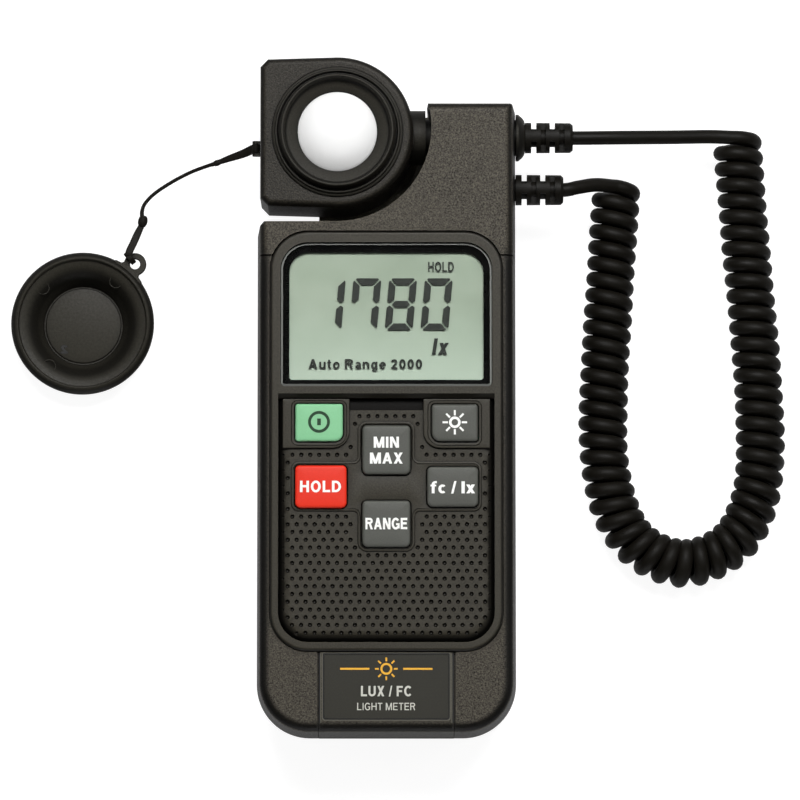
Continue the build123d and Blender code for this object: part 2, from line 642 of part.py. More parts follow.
def head_front_shell():
    shell = head_blank(HEAD_FRONT) - head_cavity(0, HEAD_FRONT - HEAD_WALL)
    start = PARTING + SEAM_GAP / 2
    shell = shell + neck_saddle(start, HEAD_FRONT - 1)
    for x, y in HEAD_SCREW_PLACES:
        shell = shell + (post(x, y, start, 27.0, 2.2) & head_cavity(0, 40))
        shell = shell - post(x, y, 0, 25.5, SCREW_RADIUS + 0.03)
    shell = shell - post(HEAD_X, AXIS_Y, 27.0, HEAD_FRONT + 1, RIM_RADIUS + 0.05)
    shell = shell - post(HEAD_X, AXIS_Y, HEAD_FRONT - 0.4, HEAD_FRONT + 1, COLLAR_RADIUS + 0.15)
    return shell - axle(-1, 12, NECK_RADIUS)


def head_rear_shell():
    """Rear half of the head, with two ears and the bar that carries the lanyard."""
    shell = head_blank(HEAD_REAR) - head_cavity(HEAD_REAR + HEAD_WALL, 40)
    end = PARTING - SEAM_GAP / 2
    shell = shell + neck_saddle(HEAD_REAR + 1, end)
    for x, y in HEAD_SCREW_PLACES:
        shell = shell + (post(x, y, HEAD_REAR + 1, end, 2.6) & head_cavity(0, 40))
        shell = shell - post(x, y, 0, 40, SCREW_RADIUS + 0.1)
        shell = shell - post(x, y, 0, HEAD_REAR + 2.2, 2.5)
    for side in (-1, 1):
        y = BAR_Y + side * EAR_OFFSET
        ear = block((BAR_X, y - EAR_THICKNESS / 2, BAR_Z - EAR_RADIUS),
                    (HEAD_LEFT + 0.5, y + EAR_THICKNESS / 2, BAR_Z + EAR_RADIUS))
        tip = Pos(BAR_X, y, BAR_Z) * Rot(90, 0, 0) * Cylinder(EAR_RADIUS, EAR_THICKNESS)
        shell = shell + ear + tip
    bar = Pos(BAR_X, BAR_Y, BAR_Z) * Rot(90, 0, 0) * Cylinder(BAR_RADIUS, 2 * EAR_OFFSET)
    return shell + bar - axle(-1, 12, NECK_RADIUS)


def head_screws():
    screws = []
    for x, y in HEAD_SCREW_PLACES:
        head = post(x, y, HEAD_REAR + 0.3, HEAD_REAR + 2.2, 2.3)
        head = head - block((x - 1.7, y - 0.3, 0), (x + 1.7, y + 0.3, HEAD_REAR + 1.1))
        head = head - block((x - 0.3, y - 1.7, 0), (x + 0.3, y + 1.7, HEAD_REAR + 1.1))
        screws.append(head + post(x, y, HEAD_REAR + 2.2, 25.0, SCREW_RADIUS))
    return Compound(children=screws)


def sensor_collar():
    """Ring with a raised rim round the dome, let into the head's front."""
    seat = HEAD_FRONT - 0.4
    dome_hole = DOME_RADIUS + 0.1
    profile = [(dome_hole, 30.5), (dome_hole, RECESS_FLOOR), (RECESS_RADIUS - 0.3, RECESS_FLOOR),
               (RECESS_RADIUS, RECESS_FLOOR + 0.3), (RECESS_RADIUS, RIM_TOP - 0.3),
               (RECESS_RADIUS + 0.3, RIM_TOP), (RIM_RADIUS - 0.3, RIM_TOP), (RIM_RADIUS, RIM_TOP - 0.4),
               (RIM_RADIUS + 0.3, HEAD_FRONT + 1.4), (COLLAR_RADIUS - 0.5, HEAD_FRONT + 1.0),
               (COLLAR_RADIUS, HEAD_FRONT + 0.5), (COLLAR_RADIUS, seat), (RIM_RADIUS, seat),
               (RIM_RADIUS, 27.2), (12.6, 27.2), (12.6, 30.5)]
    return turned(profile, HEAD_X, AXIS_Y)


def diffuser_dome():
    """White dome with a flange trapped below the collar."""
    wall = 1.5
    rise = DOME_TOP - RECESS_FLOOR
    radius = (DOME_RADIUS ** 2 + rise ** 2) / (2 * rise)
    centre = Pos(HEAD_X, AXIS_Y, DOME_TOP - radius)
    ball = centre * Sphere(radius)
    above = post(HEAD_X, AXIS_Y, RECESS_FLOOR - 0.01, DOME_TOP + 1, DOME_RADIUS + 1)
    skirt = post(HEAD_X, AXIS_Y, 30.4, RECESS_FLOOR, DOME_RADIUS)
    dome = (ball & above) + skirt + post(HEAD_X, AXIS_Y, 29.2, 30.4, 12.4)
    hollow = post(HEAD_X, AXIS_Y, RECESS_FLOOR - 0.5, DOME_TOP, DOME_RADIUS)
    inside = (centre * Sphere(radius - wall)) & hollow
    bore = post(HEAD_X, AXIS_Y, 29.0, RECESS_FLOOR - 0.4, DOME_RADIUS - 2.2)
    return dome - inside - bore


def optical_filter():
    return post(HEAD_X, AXIS_Y, 26.9, 29.0, 8.0)


def photodiode():
    """Round metal can with its window, on three legs."""
    can = post(HEAD_X, AXIS_Y, 24.2, 26.8, 4.6) + post(HEAD_X, AXIS_Y, 24.2, 24.7, 5.2)
    for angle in (0, 120, 240):
        turn = math.radians(angle)
        can = can + post(HEAD_X + 3 * math.cos(turn), AXIS_Y + 3 * math.sin(turn), 23.6, 24.3, 0.3)
    return can


def sensor_board():
    """Round board below the photodiode, on the ring that carries the filter."""
    board = post(HEAD_X, AXIS_Y, 22.0, 23.6, 11.0)
    spacer = post(HEAD_X, AXIS_Y, 23.6, 26.9, 8.0) - post(HEAD_X, AXIS_Y, 23.0, 27.0, 6.0)
    return board + spacer


def sensor_leads():
    """Two wires from the board through the hollow shaft."""
    leads = []
    for side in (-1, 1):
        y = AXIS_Y + side * 1.2
        points = [(-8.0, y, 21.9), (-6.5, y, 19.6), (-3.0, y, PARTING), (NECK_END, y, PARTING),
                  (36.4, y, PARTING)]
        leads.append(tube_along(points, 0.6))
    return Compound(children=leads)


# ---- Swivel -------------------------------------------------------------------------------------
def swivel_shaft():
    """Hollow shaft: flange inside the head, thick neck, bearing length with lug and clip groove."""
    shaft = axle(-1.5, 0.5, 8.0) + axle(0.5, NECK_END, NECK_RADIUS)
    shaft = shaft + axle(NECK_END, SHAFT_END, SHAFT_RADIUS)
    shaft = shaft - (axle(CLIP_LOW - 0.05, CLIP_HIGH + 0.05, SHAFT_RADIUS + 1)
                     - axle(CLIP_LOW - 0.05, CLIP_HIGH + 0.05, GROOVE_RADIUS))
    half = math.radians(LUG_HALF_ANGLE)
    middle = math.radians(LUG_ANGLE)
    corners = [(0, 0)] + [(LUG_RADIUS * math.cos(middle + a), LUG_RADIUS * math.sin(middle + a))
                          for a in (-half, 0, half)]
    wedge = make_face(Polyline(*[(LUG_LOW, AXIS_Y + y, PARTING + z) for y, z in corners], close=True))
    shaft = shaft + extrude(wedge, amount=LUG_HIGH - LUG_LOW, dir=(1, 0, 0))
    return shaft - axle(-3, 36, SHAFT_BORE)


def shaft_clip():
    """Open retaining clip that sits in the shaft's groove."""
    ring = axle(CLIP_LOW, CLIP_HIGH, CLIP_RADIUS) - axle(CLIP_LOW - 1, CLIP_HIGH + 1, GROOVE_RADIUS + 0.05)
    opening = 2.6
    return ring - block((CLIP_LOW - 1, AXIS_Y - opening, PARTING),
                        (CLIP_HIGH + 1, AXIS_Y + opening, COVER_TOP))


def friction_pad():
    """Felt pad below the shaft that holds the head at any angle."""
    pad = block((20.6, AXIS_Y - 3.8, PAD_LOW), (25.2, AXIS_Y + 3.8, PARTING - 3.4))
    return pad - axle(20, 26, SHAFT_RADIUS + RUNNING_GAP)


def shaft_end_boss():
    """Cone over the shaft's end, outside the body."""
    wall = BODY_WIDTH / 2
    profile = [(wall + 0.15, SHAFT_RADIUS + 0.02), (wall + 0.15, 6.2), (wall + 0.8, 6.2),
               (36.6, RELIEF_RADIUS), (36.6, CABLE_RADIUS + 0.08), (SHAFT_END + 0.1, CABLE_RADIUS + 0.08),
               (SHAFT_END + 0.1, SHAFT_RADIUS + 0.02)]
    return turned_along_x(profile)


def strain_relief(x_start, y):
    """Slotted rubber sleeve: slots open in turn to front and rear, and to both sides."""
    x_end = x_start + RELIEF_LENGTH
    profile = [(x_start, 0), (x_start, RELIEF_RADIUS), (x_end - 0.7, RELIEF_RADIUS - 0.1),
               (x_end, RELIEF_RADIUS - 0.7), (x_end, 0)]
    sleeve = turned_along_x(profile, y=y)
    slot = 1.4
    reach = RELIEF_RADIUS + 1
    for number, offset in enumerate((1.6, 4.1, 6.5, 9.0)):
        cut = block((x_start + offset, y - reach, PARTING - reach),
                    (x_start + offset + slot, y + reach, PARTING + reach))
        cut = cut - axle(x_start, x_end, RELIEF_CORE, y=y)
        web = 1.3
        if number % 2:
            keep = block((x_start, y - reach, PARTING - web), (x_end, y + reach, PARTING + web))
        else:
            keep = block((x_start, y - web, PARTING - reach), (x_end, y + web, PARTING + reach))
        sleeve = sleeve - (cut - keep)
    return sleeve - axle(x_start - 1, x_end + 1, CABLE_RADIUS + 0.07, y=y)


def upper_strain_relief():
    return strain_relief(36.65, AXIS_Y)


def lower_strain_relief():
    """Sleeve with a neck through the wall and a flange inside."""
    sleeve = strain_relief(34.1, LOWER_EXIT_Y)
    neck = axle(31.6, 34.3, 2.95, y=LOWER_EXIT_Y) + axle(30.2, 31.6, 4.6, y=LOWER_EXIT_Y)
    return sleeve + (neck - axle(29, 36, CABLE_RADIUS + 0.07, y=LOWER_EXIT_Y))


# ---- Cable --------------------------------------------------------------------------------------
def coiled_cable():
    """Envelope of the close-wound coil, lying on the table, with its two straight leads."""
    coil = tube_along([(x, y, COIL_HEIGHT) for x, y in COIL_LINE], COIL_RADIUS, COIL_CORE)
    top = COIL_HEIGHT + (COIL_RADIUS + COIL_CORE) / 2
    upper = axle(37.2, 50.5, CABLE_RADIUS) + tube_along(
        [(50.5, AXIS_Y, PARTING), (70.0, 76.2, 16.2), (88.0, 76.8, top + 0.8), (94.6, 75.0, top - 0.6)],
        CABLE_RADIUS, tangents=[(1, 0, 0), (0.6, -0.8, 0)])
    lower = axle(29.0, 47.5, CABLE_RADIUS, y=LOWER_EXIT_Y) + tube_along(
        [(47.5, LOWER_EXIT_Y, PARTING), (56.0, 63.6, 15.0), (63.0, 62.2, top - 0.6)],
        CABLE_RADIUS, tangents=[(1, 0, 0), (0.6, -0.8, 0)])
    return coil + upper + lower


# ---- Dome cap and lanyard -----------------------------------------------------------------------
def sensor_cap():
    """Round bowl with a flat rim, lying open side up, and a tab with an eye."""
    profile = [(0, 0), (12.6, 0), (13.8, 0.6), (17.4, CAP_DEPTH - 2.0), (CAP_RADIUS - 0.4, CAP_DEPTH - 2.0),
               (CAP_RADIUS, CAP_DEPTH - 1.6), (CAP_RADIUS, CAP_DEPTH - 0.5), (CAP_RADIUS - 0.6, CAP_DEPTH),
               (16.8, CAP_DEPTH - 0.1), (16.0, CAP_DEPTH - 1.3), (12.4, 2.4), (10.6, 1.6), (0, 1.6)]
    bowl = turned(profile, CAP_X, CAP_Y)
    toward = math.atan2(EYE_Y - CAP_Y, EYE_X - CAP_X)
    reach = math.hypot(EYE_X - CAP_X, EYE_Y - CAP_Y)
    root, tip = CAP_RADIUS - 2.2, reach - 0.6
    flare = Polygon((root, -5.2), (root + 1.6, -5.0), (tip, -2.9), (tip, 2.9), (root + 1.6, 5.0),
                    (root, 5.2), align=None)
    tongue = flare + Pos(reach, 0) * Circle(TAB_RADIUS)
    tab = slab(tongue, CAP_DEPTH - 1.8, CAP_DEPTH - 0.2)
    tab = Pos(CAP_X, CAP_Y, 0) * Rot(0, 0, math.degrees(toward)) * tab
    eye = post(EYE_X, EYE_Y, 0, CAP_DEPTH + 1, EYE_RADIUS)
    return bowl + tab - eye


def flat_strap(start, end, width, thickness):
    """Straight flat strap between two points, its width level and across the run."""
    path = Line(start, end)
    run = path % 0
    plane = Plane(origin=start, x_dir=Vector(0, 0, 1).cross(run), z_dir=run)
    return sweep(plane * Rectangle(width, thickness), path=path)


def lanyard_head_loop():
    """Flat loop round the bar on the head, with its strap down to the first crimp."""
    across = Pos(BAR_X, BAR_Y, BAR_Z) * Rot(90, 0, 0)
    bore = across * Cylinder(BAR_RADIUS + 0.08, STRAP_WIDTH + 1)
    start = (BAR_X - 0.9, BAR_Y, BAR_Z - 0.3)
    strap = flat_strap(start, HEAD_CRIMP, STRAP_WIDTH - 0.2, 0.8)
    return across * Cylinder(1.15, STRAP_WIDTH) + strap - bore


def lanyard_cap_loop():
    """Loop through the eye of the cap, with its strap up to the second crimp."""
    upright = Rot(0, 0, LOOP_ANGLE) * Rot(90, 0, 0)
    ring = Pos(LOOP_X, LOOP_Y, LOOP_Z) * upright * (Cylinder(1.9, 1.3) - Cylinder(1.45, 2.0))
    top = (LOOP_X - 0.15, LOOP_Y + 0.9, LOOP_Z + 1.65)
    strap = flat_strap(top, (CAP_CRIMP[0], CAP_CRIMP[1], CAP_CRIMP[2]), 1.6, 0.5)
    return ring + strap


def lanyard_cord():
    start = Vector(*HEAD_CRIMP) + Vector(-1.0, -0.3, -0.4)
    end = Vector(*CAP_CRIMP) + Vector(-0.05, 1.0, 0)
    middle = [(-52.3, 67.9, 9.6), (-59.0, 64.9, 8.0), (-63.8, 60.8, 7.6)]
    return tube_along([start] + [Vector(*p) for p in middle] + [end], CORD_RADIUS)


def lanyard_crimps():
    """Sleeves that join the thin cord to the two flat loops."""
    head_run = Vector(*HEAD_CRIMP) - Vector(BAR_X - 0.9, BAR_Y, BAR_Z - 0.3)
    cap_run = Vector(*CAP_CRIMP) - Vector(LOOP_X - 0.15, LOOP_Y + 0.9, LOOP_Z + 1.65)
    crimps = []
    for centre, run in ((HEAD_CRIMP, head_run), (CAP_CRIMP, cap_run)):
        crimps.append(Plane(origin=centre, z_dir=run) * Cylinder(1.25, 3.0))
    return crimps


def crimp_set():
    """Crimps with the strap ends and cord ends taken out of them."""
    fillings = lanyard_head_loop() + lanyard_cap_loop() + lanyard_cord()
    return Compound(children=[crimp - fillings for crimp in lanyard_crimps()])


# ---- Assembly -----------------------------------------------------------------------------------
PARTS = {
    "rear_cover": rear_cover,
    "lower_front_frame": lower_front_frame,
    "upper_front_cover": upper_front_cover,
    "rear_label": rear_label,
    "case_screws": case_screws,
    "battery_end_cap": battery_end_cap,
    "name_label": name_label,
    "battery": battery,
    "battery_snap": battery_snap,
    "battery_leads": battery_leads,
    "panel_bezel": panel_bezel,
    "keypad_faceplate": keypad_faceplate,
    "keypad_mat": keypad_mat,
    "display_lens": display_lens,
    "display_mask": display_mask,
    "lcd_glass": lcd_glass,
    "backlight_panel": backlight_panel,
    "contact_strips": contact_strips,
    "main_board": main_board,
    "board_components": board_components,
    "board_screws": board_screws,
    "head_front_shell": head_front_shell,
    "head_rear_shell": head_rear_shell,
    "head_screws": head_screws,
    "sensor_collar": sensor_collar,
    "diffuser_dome": diffuser_dome,
    "optical_filter": optical_filter,
    "photodiode": photodiode,
    "sensor_board": sensor_board,
    "sensor_leads": sensor_leads,
    "swivel_shaft": swivel_shaft,
    "shaft_clip": shaft_clip,
    "friction_pad": friction_pad,
    "shaft_end_boss": shaft_end_boss,
    "upper_strain_relief": upper_strain_relief,
    "lower_strain_relief": lower_strain_relief,
    "coiled_cable": coiled_cable,
    "sensor_cap": sensor_cap,
    "lanyard_head_loop": lanyard_head_loop,
    "lanyard_cord": lanyard_cord,
    "lanyard_crimps": crimp_set,
    "lanyard_cap_loop": lanyard_cap_loop,
}

os.makedirs("parts", exist_ok=True)
for node, build in PARTS.items():
    export_step(build(), "parts/" + node + ".step")
for node, outline in KEYS.items():
    export_step(key(*outline), "parts/" + node + ".step")
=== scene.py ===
import json
import math

import bmesh
import bpy
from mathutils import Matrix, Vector
from mathutils.geometry import delaunay_2d_cdt


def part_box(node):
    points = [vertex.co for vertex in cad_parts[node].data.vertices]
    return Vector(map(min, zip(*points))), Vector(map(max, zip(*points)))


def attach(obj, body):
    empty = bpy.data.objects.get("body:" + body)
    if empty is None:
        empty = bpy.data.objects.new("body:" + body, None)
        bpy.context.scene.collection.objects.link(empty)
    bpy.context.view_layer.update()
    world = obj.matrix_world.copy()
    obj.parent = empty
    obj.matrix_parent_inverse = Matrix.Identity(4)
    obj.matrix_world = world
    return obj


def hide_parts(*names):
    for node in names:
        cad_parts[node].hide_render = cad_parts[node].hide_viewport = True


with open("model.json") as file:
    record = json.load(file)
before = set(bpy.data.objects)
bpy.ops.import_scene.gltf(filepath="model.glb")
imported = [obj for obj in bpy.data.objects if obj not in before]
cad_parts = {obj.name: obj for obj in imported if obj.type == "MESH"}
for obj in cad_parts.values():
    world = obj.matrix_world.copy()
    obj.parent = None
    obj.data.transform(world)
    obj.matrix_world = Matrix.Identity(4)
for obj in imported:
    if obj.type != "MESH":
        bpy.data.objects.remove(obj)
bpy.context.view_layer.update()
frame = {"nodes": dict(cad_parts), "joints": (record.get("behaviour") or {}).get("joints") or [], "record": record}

MM = 0.001
NODES = frame["nodes"]


# ---- Places worked out from the frame (millimetres) ---------------------------------------------
def box_mm(node):
    low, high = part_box(node)
    return low / MM, high / MM


BODY_LOW, BODY_HIGH = box_mm("rear_cover")
PLATE_LOW, PLATE_HIGH = box_mm("keypad_faceplate")
COLLAR_LOW, COLLAR_HIGH = box_mm("sensor_collar")
DOME_TOP = box_mm("diffuser_dome")[1].z
GLASS_TOP = box_mm("lcd_glass")[1].z
CAP_LOW, CAP_HIGH = box_mm("sensor_cap")
LABEL_LOW, LABEL_HIGH = box_mm("name_label")
END_PIECE_X, END_PIECE_Y, END_PIECE_FACE = box_mm("battery_end_cap")[1]
REAR_LABEL_LOW = box_mm("rear_label")[0]
SEAM_DEPTH = 0.5
SHELL_CORNER = 14.0           # radius of the body's lower corners

CAP_RIM = 19.0
CAP_CENTRE = (CAP_LOW.x + CAP_RIM, CAP_LOW.y + CAP_RIM)
HEAD_X = (COLLAR_LOW.x + COLLAR_HIGH.x) / 2
HEAD_Y = (COLLAR_LOW.y + COLLAR_HIGH.y) / 2
HINGES = {joint["name"]: Vector(joint["pos_m"]) / MM for joint in frame["joints"] if "pos_m" in joint}
AXIS = HINGES["head_swivel"]  # middle of the round neck
BAR = HINGES["lanyard_swing"]  # bar on the head that holds the lanyard
EYE = HINGES["cap_pivot"]     # eye in the cap's tab


# ---- Mesh helpers -------------------------------------------------------------------------------
MERGE_DISTANCE = 1e-7         # metres; points nearer than this become one
FLAT_TOLERANCE = 1e-5         # millimetres; the same for outlines that are being filled
THIN_SLAB_THICKNESS = 0.03


def mesh_object(name, points, faces, material, body, crease=35.0):
    """Mesh piece from points in millimetres; edges sharper than `crease` degrees stay hard."""
    mesh = bpy.data.meshes.new(name)
    mesh.from_pydata([Vector(p) * MM for p in points], [], faces)
    work = bmesh.new()
    work.from_mesh(mesh)
    bmesh.ops.remove_doubles(work, verts=work.verts, dist=MERGE_DISTANCE)
    bmesh.ops.recalc_face_normals(work, faces=work.faces)
    work.to_mesh(mesh)
    work.free()
    mesh.validate()
    mesh.shade_smooth()
    mesh.set_sharp_from_angle(angle=math.radians(crease))
    mesh.materials.append(material)
    piece = bpy.data.objects.new(name, mesh)
    bpy.context.scene.collection.objects.link(piece)
    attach(piece, body)
    return piece


def stands_for(piece, slot, node):
    """Hides the CAD node that the piece is a finer version of; the piece and the slot are not used."""
    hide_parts(node)


def add_skin(points, faces, more_points, more_faces):
    """Appends a second skin to a first one, with its faces renumbered."""
    shift = len(points)
    points += more_points
    faces += [tuple(i + shift for i in face) for face in more_faces]


def rounded_loop(corners, inset=0.0, steps=8):
    """Counter-clockwise outline of (x, y, radius) corners, moved inwards by `inset`."""
    smallest_bend = 0.03
    points = []
    count = len(corners)
    for i, (x, y, radius) in enumerate(corners):
        corner = Vector((x, y))
        arriving = (corner - Vector(corners[i - 1][:2])).normalized()
        leaving = (Vector(corners[(i + 1) % count][:2]) - corner).normalized()
        inward = Vector((-arriving.y, arriving.x))
        next_inward = Vector((-leaving.y, leaving.x))
        turn = math.atan2(arriving.cross(leaving), arriving.dot(leaving))
        side = 1 if turn > 0 else -1
        corner = corner + (inward + next_inward) * (inset / (1 + inward.dot(next_inward)))
        bend = max(radius - side * inset, smallest_bend)
        centre = corner - arriving * (bend * math.tan(abs(turn) / 2)) + inward * (bend * side)
        start = math.atan2(-inward.y * side, -inward.x * side)
        for step in range(steps + 1):
            angle = start + turn * step / steps
            points.append((centre.x + bend * math.cos(angle), centre.y + bend * math.sin(angle)))
    return points


def rectangle(x_low, x_high, y_low, y_high, radii):
    """Corners of a rectangle; radii run bottom left, bottom right, top right, top left."""
    places = [(x_low, y_low), (x_high, y_low), (x_high, y_high), (x_low, y_high)]
    return [(x, y, r) for (x, y), r in zip(places, radii)]


def loft(rings, caps=True):
    """Points and faces of a skin over rings of equal length, closed at both ends."""
    size = len(rings[0])
    points = [p for ring in rings for p in ring]
    faces = []
    for row in range(len(rings) - 1):
        for i in range(size):
            j = (i + 1) % size
            a, b = row * size, (row + 1) * size
            faces.append((a + i, a + j, b + j, b + i))
    if caps:
        faces.append(tuple(reversed(range(size))))
        faces.append(tuple(range((len(rings) - 1) * size, len(rings) * size)))
    return points, faces


def edge_profile(radius, steps=4):
    """(inset, drop) pairs of a quarter round from the side wall up to the top."""
    pairs = []
    for step in range(steps + 1):
        angle = math.pi / 2 * step / steps
        pairs.append((radius * (1 - math.cos(angle)), radius * (1 - math.sin(angle))))
    return pairs


def inside(point, loop):
    """True if the point lies within the outline."""
    x, y = point
    hit = False
    for (x1, y1), (x2, y2) in zip(loop, loop[1:] + loop[:1]):
        if (y1 > y) != (y2 > y) and x < x1 + (y - y1) * (x2 - x1) / (y2 - y1):
            hit = not hit
    return hit


def triangulated(loops, dots, keep):
    """Flat places and triangles over closed loops and dots, where keep(middle) is true."""
    flat = []
    edges = []
    for loop in loops:
        start = len(flat)
        flat += [Vector(p) for p in loop]
        edges += [(start + i, start + (i + 1) % len(loop)) for i in range(len(loop))]
    flat += [Vector(p) for p in dots]
    places, _, triangles, _, _, _ = delaunay_2d_cdt(flat, edges, [], 0, FLAT_TOLERANCE)
    kept = []
    for triangle in triangles:
        middle = sum((places[i] for i in triangle), Vector((0, 0))) / 3
        if keep(middle):
            kept.append(tuple(triangle))
    return places, kept


def filled_region(boundary, holes, lines, dots, height):
    """Triangles over the boundary minus the holes, with every line and dot kept as an edge."""
    def open_field(middle):
        return inside(middle, boundary) and not any(inside(middle, hole) for hole in holes)

    places, kept = triangulated([boundary] + holes + lines, dots, open_field)
    return [(p.x, p.y, height(p.x, p.y)) for p in places], kept


def open_edges(triangles):
    """Directed edges that belong to one triangle only."""
    directed = {(a, b) for t in triangles for a, b in zip(t, t[1:] + t[:1])}
    return [(a, b) for a, b in directed if (b, a) not in directed]


def lathe(name, profile, centre, material, body, segments=128, crease=35.0, along_x=False):
    """Body turned about a line; profile holds (radius, level) and may start or end at 0.

    The line is upright through (x, y) centre, or along X through (y, z) centre.
    """
    def place(radius, level, angle):
        u = centre[0] + radius * math.cos(angle)
        v = centre[1] + radius * math.sin(angle)
        return (level, u, v) if along_x else (u, v, level)

    points = []
    faces = []
    rows = []
    for radius, level in profile:
        count = segments if radius else 1
        rows.append(list(range(len(points), len(points) + count)))
        points += [place(radius, level, 2 * math.pi * i / segments) for i in range(count)]
    pairs = list(zip(rows, rows[1:]))
    if len(rows[0]) > 1 and len(rows[-1]) > 1:
        pairs.append((rows[-1], rows[0]))
    for a, b in pairs:
        for i in range(segments):
            j = (i + 1) % segments
            if len(a) == 1:
                faces.append((a[0], b[j], b[i]))
            elif len(b) == 1:
                faces.append((a[i], a[j], b[0]))
            else:
                faces.append((a[i], a[j], b[j], b[i]))
    return mesh_object(name, points, faces, material, body, crease)


def smooth_path(knots, count):
    """`count` + 1 points of a Catmull-Rom curve through the knots, evenly spaced along it."""
    knots = [Vector(k) for k in knots]
    padded = [2 * knots[0] - knots[1]] + knots + [2 * knots[-1] - knots[-2]]
    steps_per_span = 60
    fine = []
    for a, b, c, d in zip(padded, padded[1:], padded[2:], padded[3:]):
        for step in range(steps_per_span):
            t = step / steps_per_span
            fine.append(0.5 * (2 * b + (c - a) * t + (2 * a - 5 * b + 4 * c - d) * t * t
                               + (3 * b - a - 3 * c + d) * t ** 3))
    fine.append(knots[-1])
    return resample(fine, count)


def resample(points, count):
    """`count` + 1 points evenly spaced along a line of points."""
    lengths = [0.0]
    for a, b in zip(points, points[1:]):
        lengths.append(lengths[-1] + (b - a).length)
    spaced = []
    i = 0
    for step in range(count + 1):
        target = lengths[-1] * step / count
        while i < len(points) - 2 and lengths[i + 1] < target:
            i += 1
        gap = lengths[i + 1] - lengths[i]
        share = (target - lengths[i]) / gap if gap else 0.0
        spaced.append(points[i].lerp(points[i + 1], min(max(share, 0.0), 1.0)))
    return spaced


def swept(path, section, up=Vector((0, 0, 1))):
    """Rings of a section carried along a path without twisting; section(i) gives its (u, v)."""
    rings = []
    side = None
    for i, point in enumerate(path):
        ahead = path[min(i + 1, len(path) - 1)] - path[max(i - 1, 0)]
        ahead.normalize()
        if side is None:
            side = ahead.cross(up).normalized()
        side = (side - ahead * side.dot(ahead)).normalized()
        lift = side.cross(ahead)
        rings.append([point + side * u + lift * v for u, v in section(i)])
    return rings


def circle(radius, sides):
    """(x, y) points of a circle about the origin."""
    angles = [2 * math.pi * k / sides for k in range(sides)]
    return [(radius * math.cos(angle), radius * math.sin(angle)) for angle in angles]


# ---- Material helpers ---------------------------------------------------------------------------
RIM_START, RIM_FULL = 3.8, 2.6              # in from the side: the painted shade on the shell's rim begins, is full
RIM_FADE_START, RIM_FADE_END = 40.0, 46.0   # along the body: the painted rim shade begins to fade, is gone
# Painted shade colours: one mixed into creases, one onto slopes and the shell's rim.
CREASE_SHADE_TONE = (0.004, 0.0035, 0.003, 1.0)
SLOPE_SHADE_TONE = (0.002, 0.0018, 0.0015, 1.0)


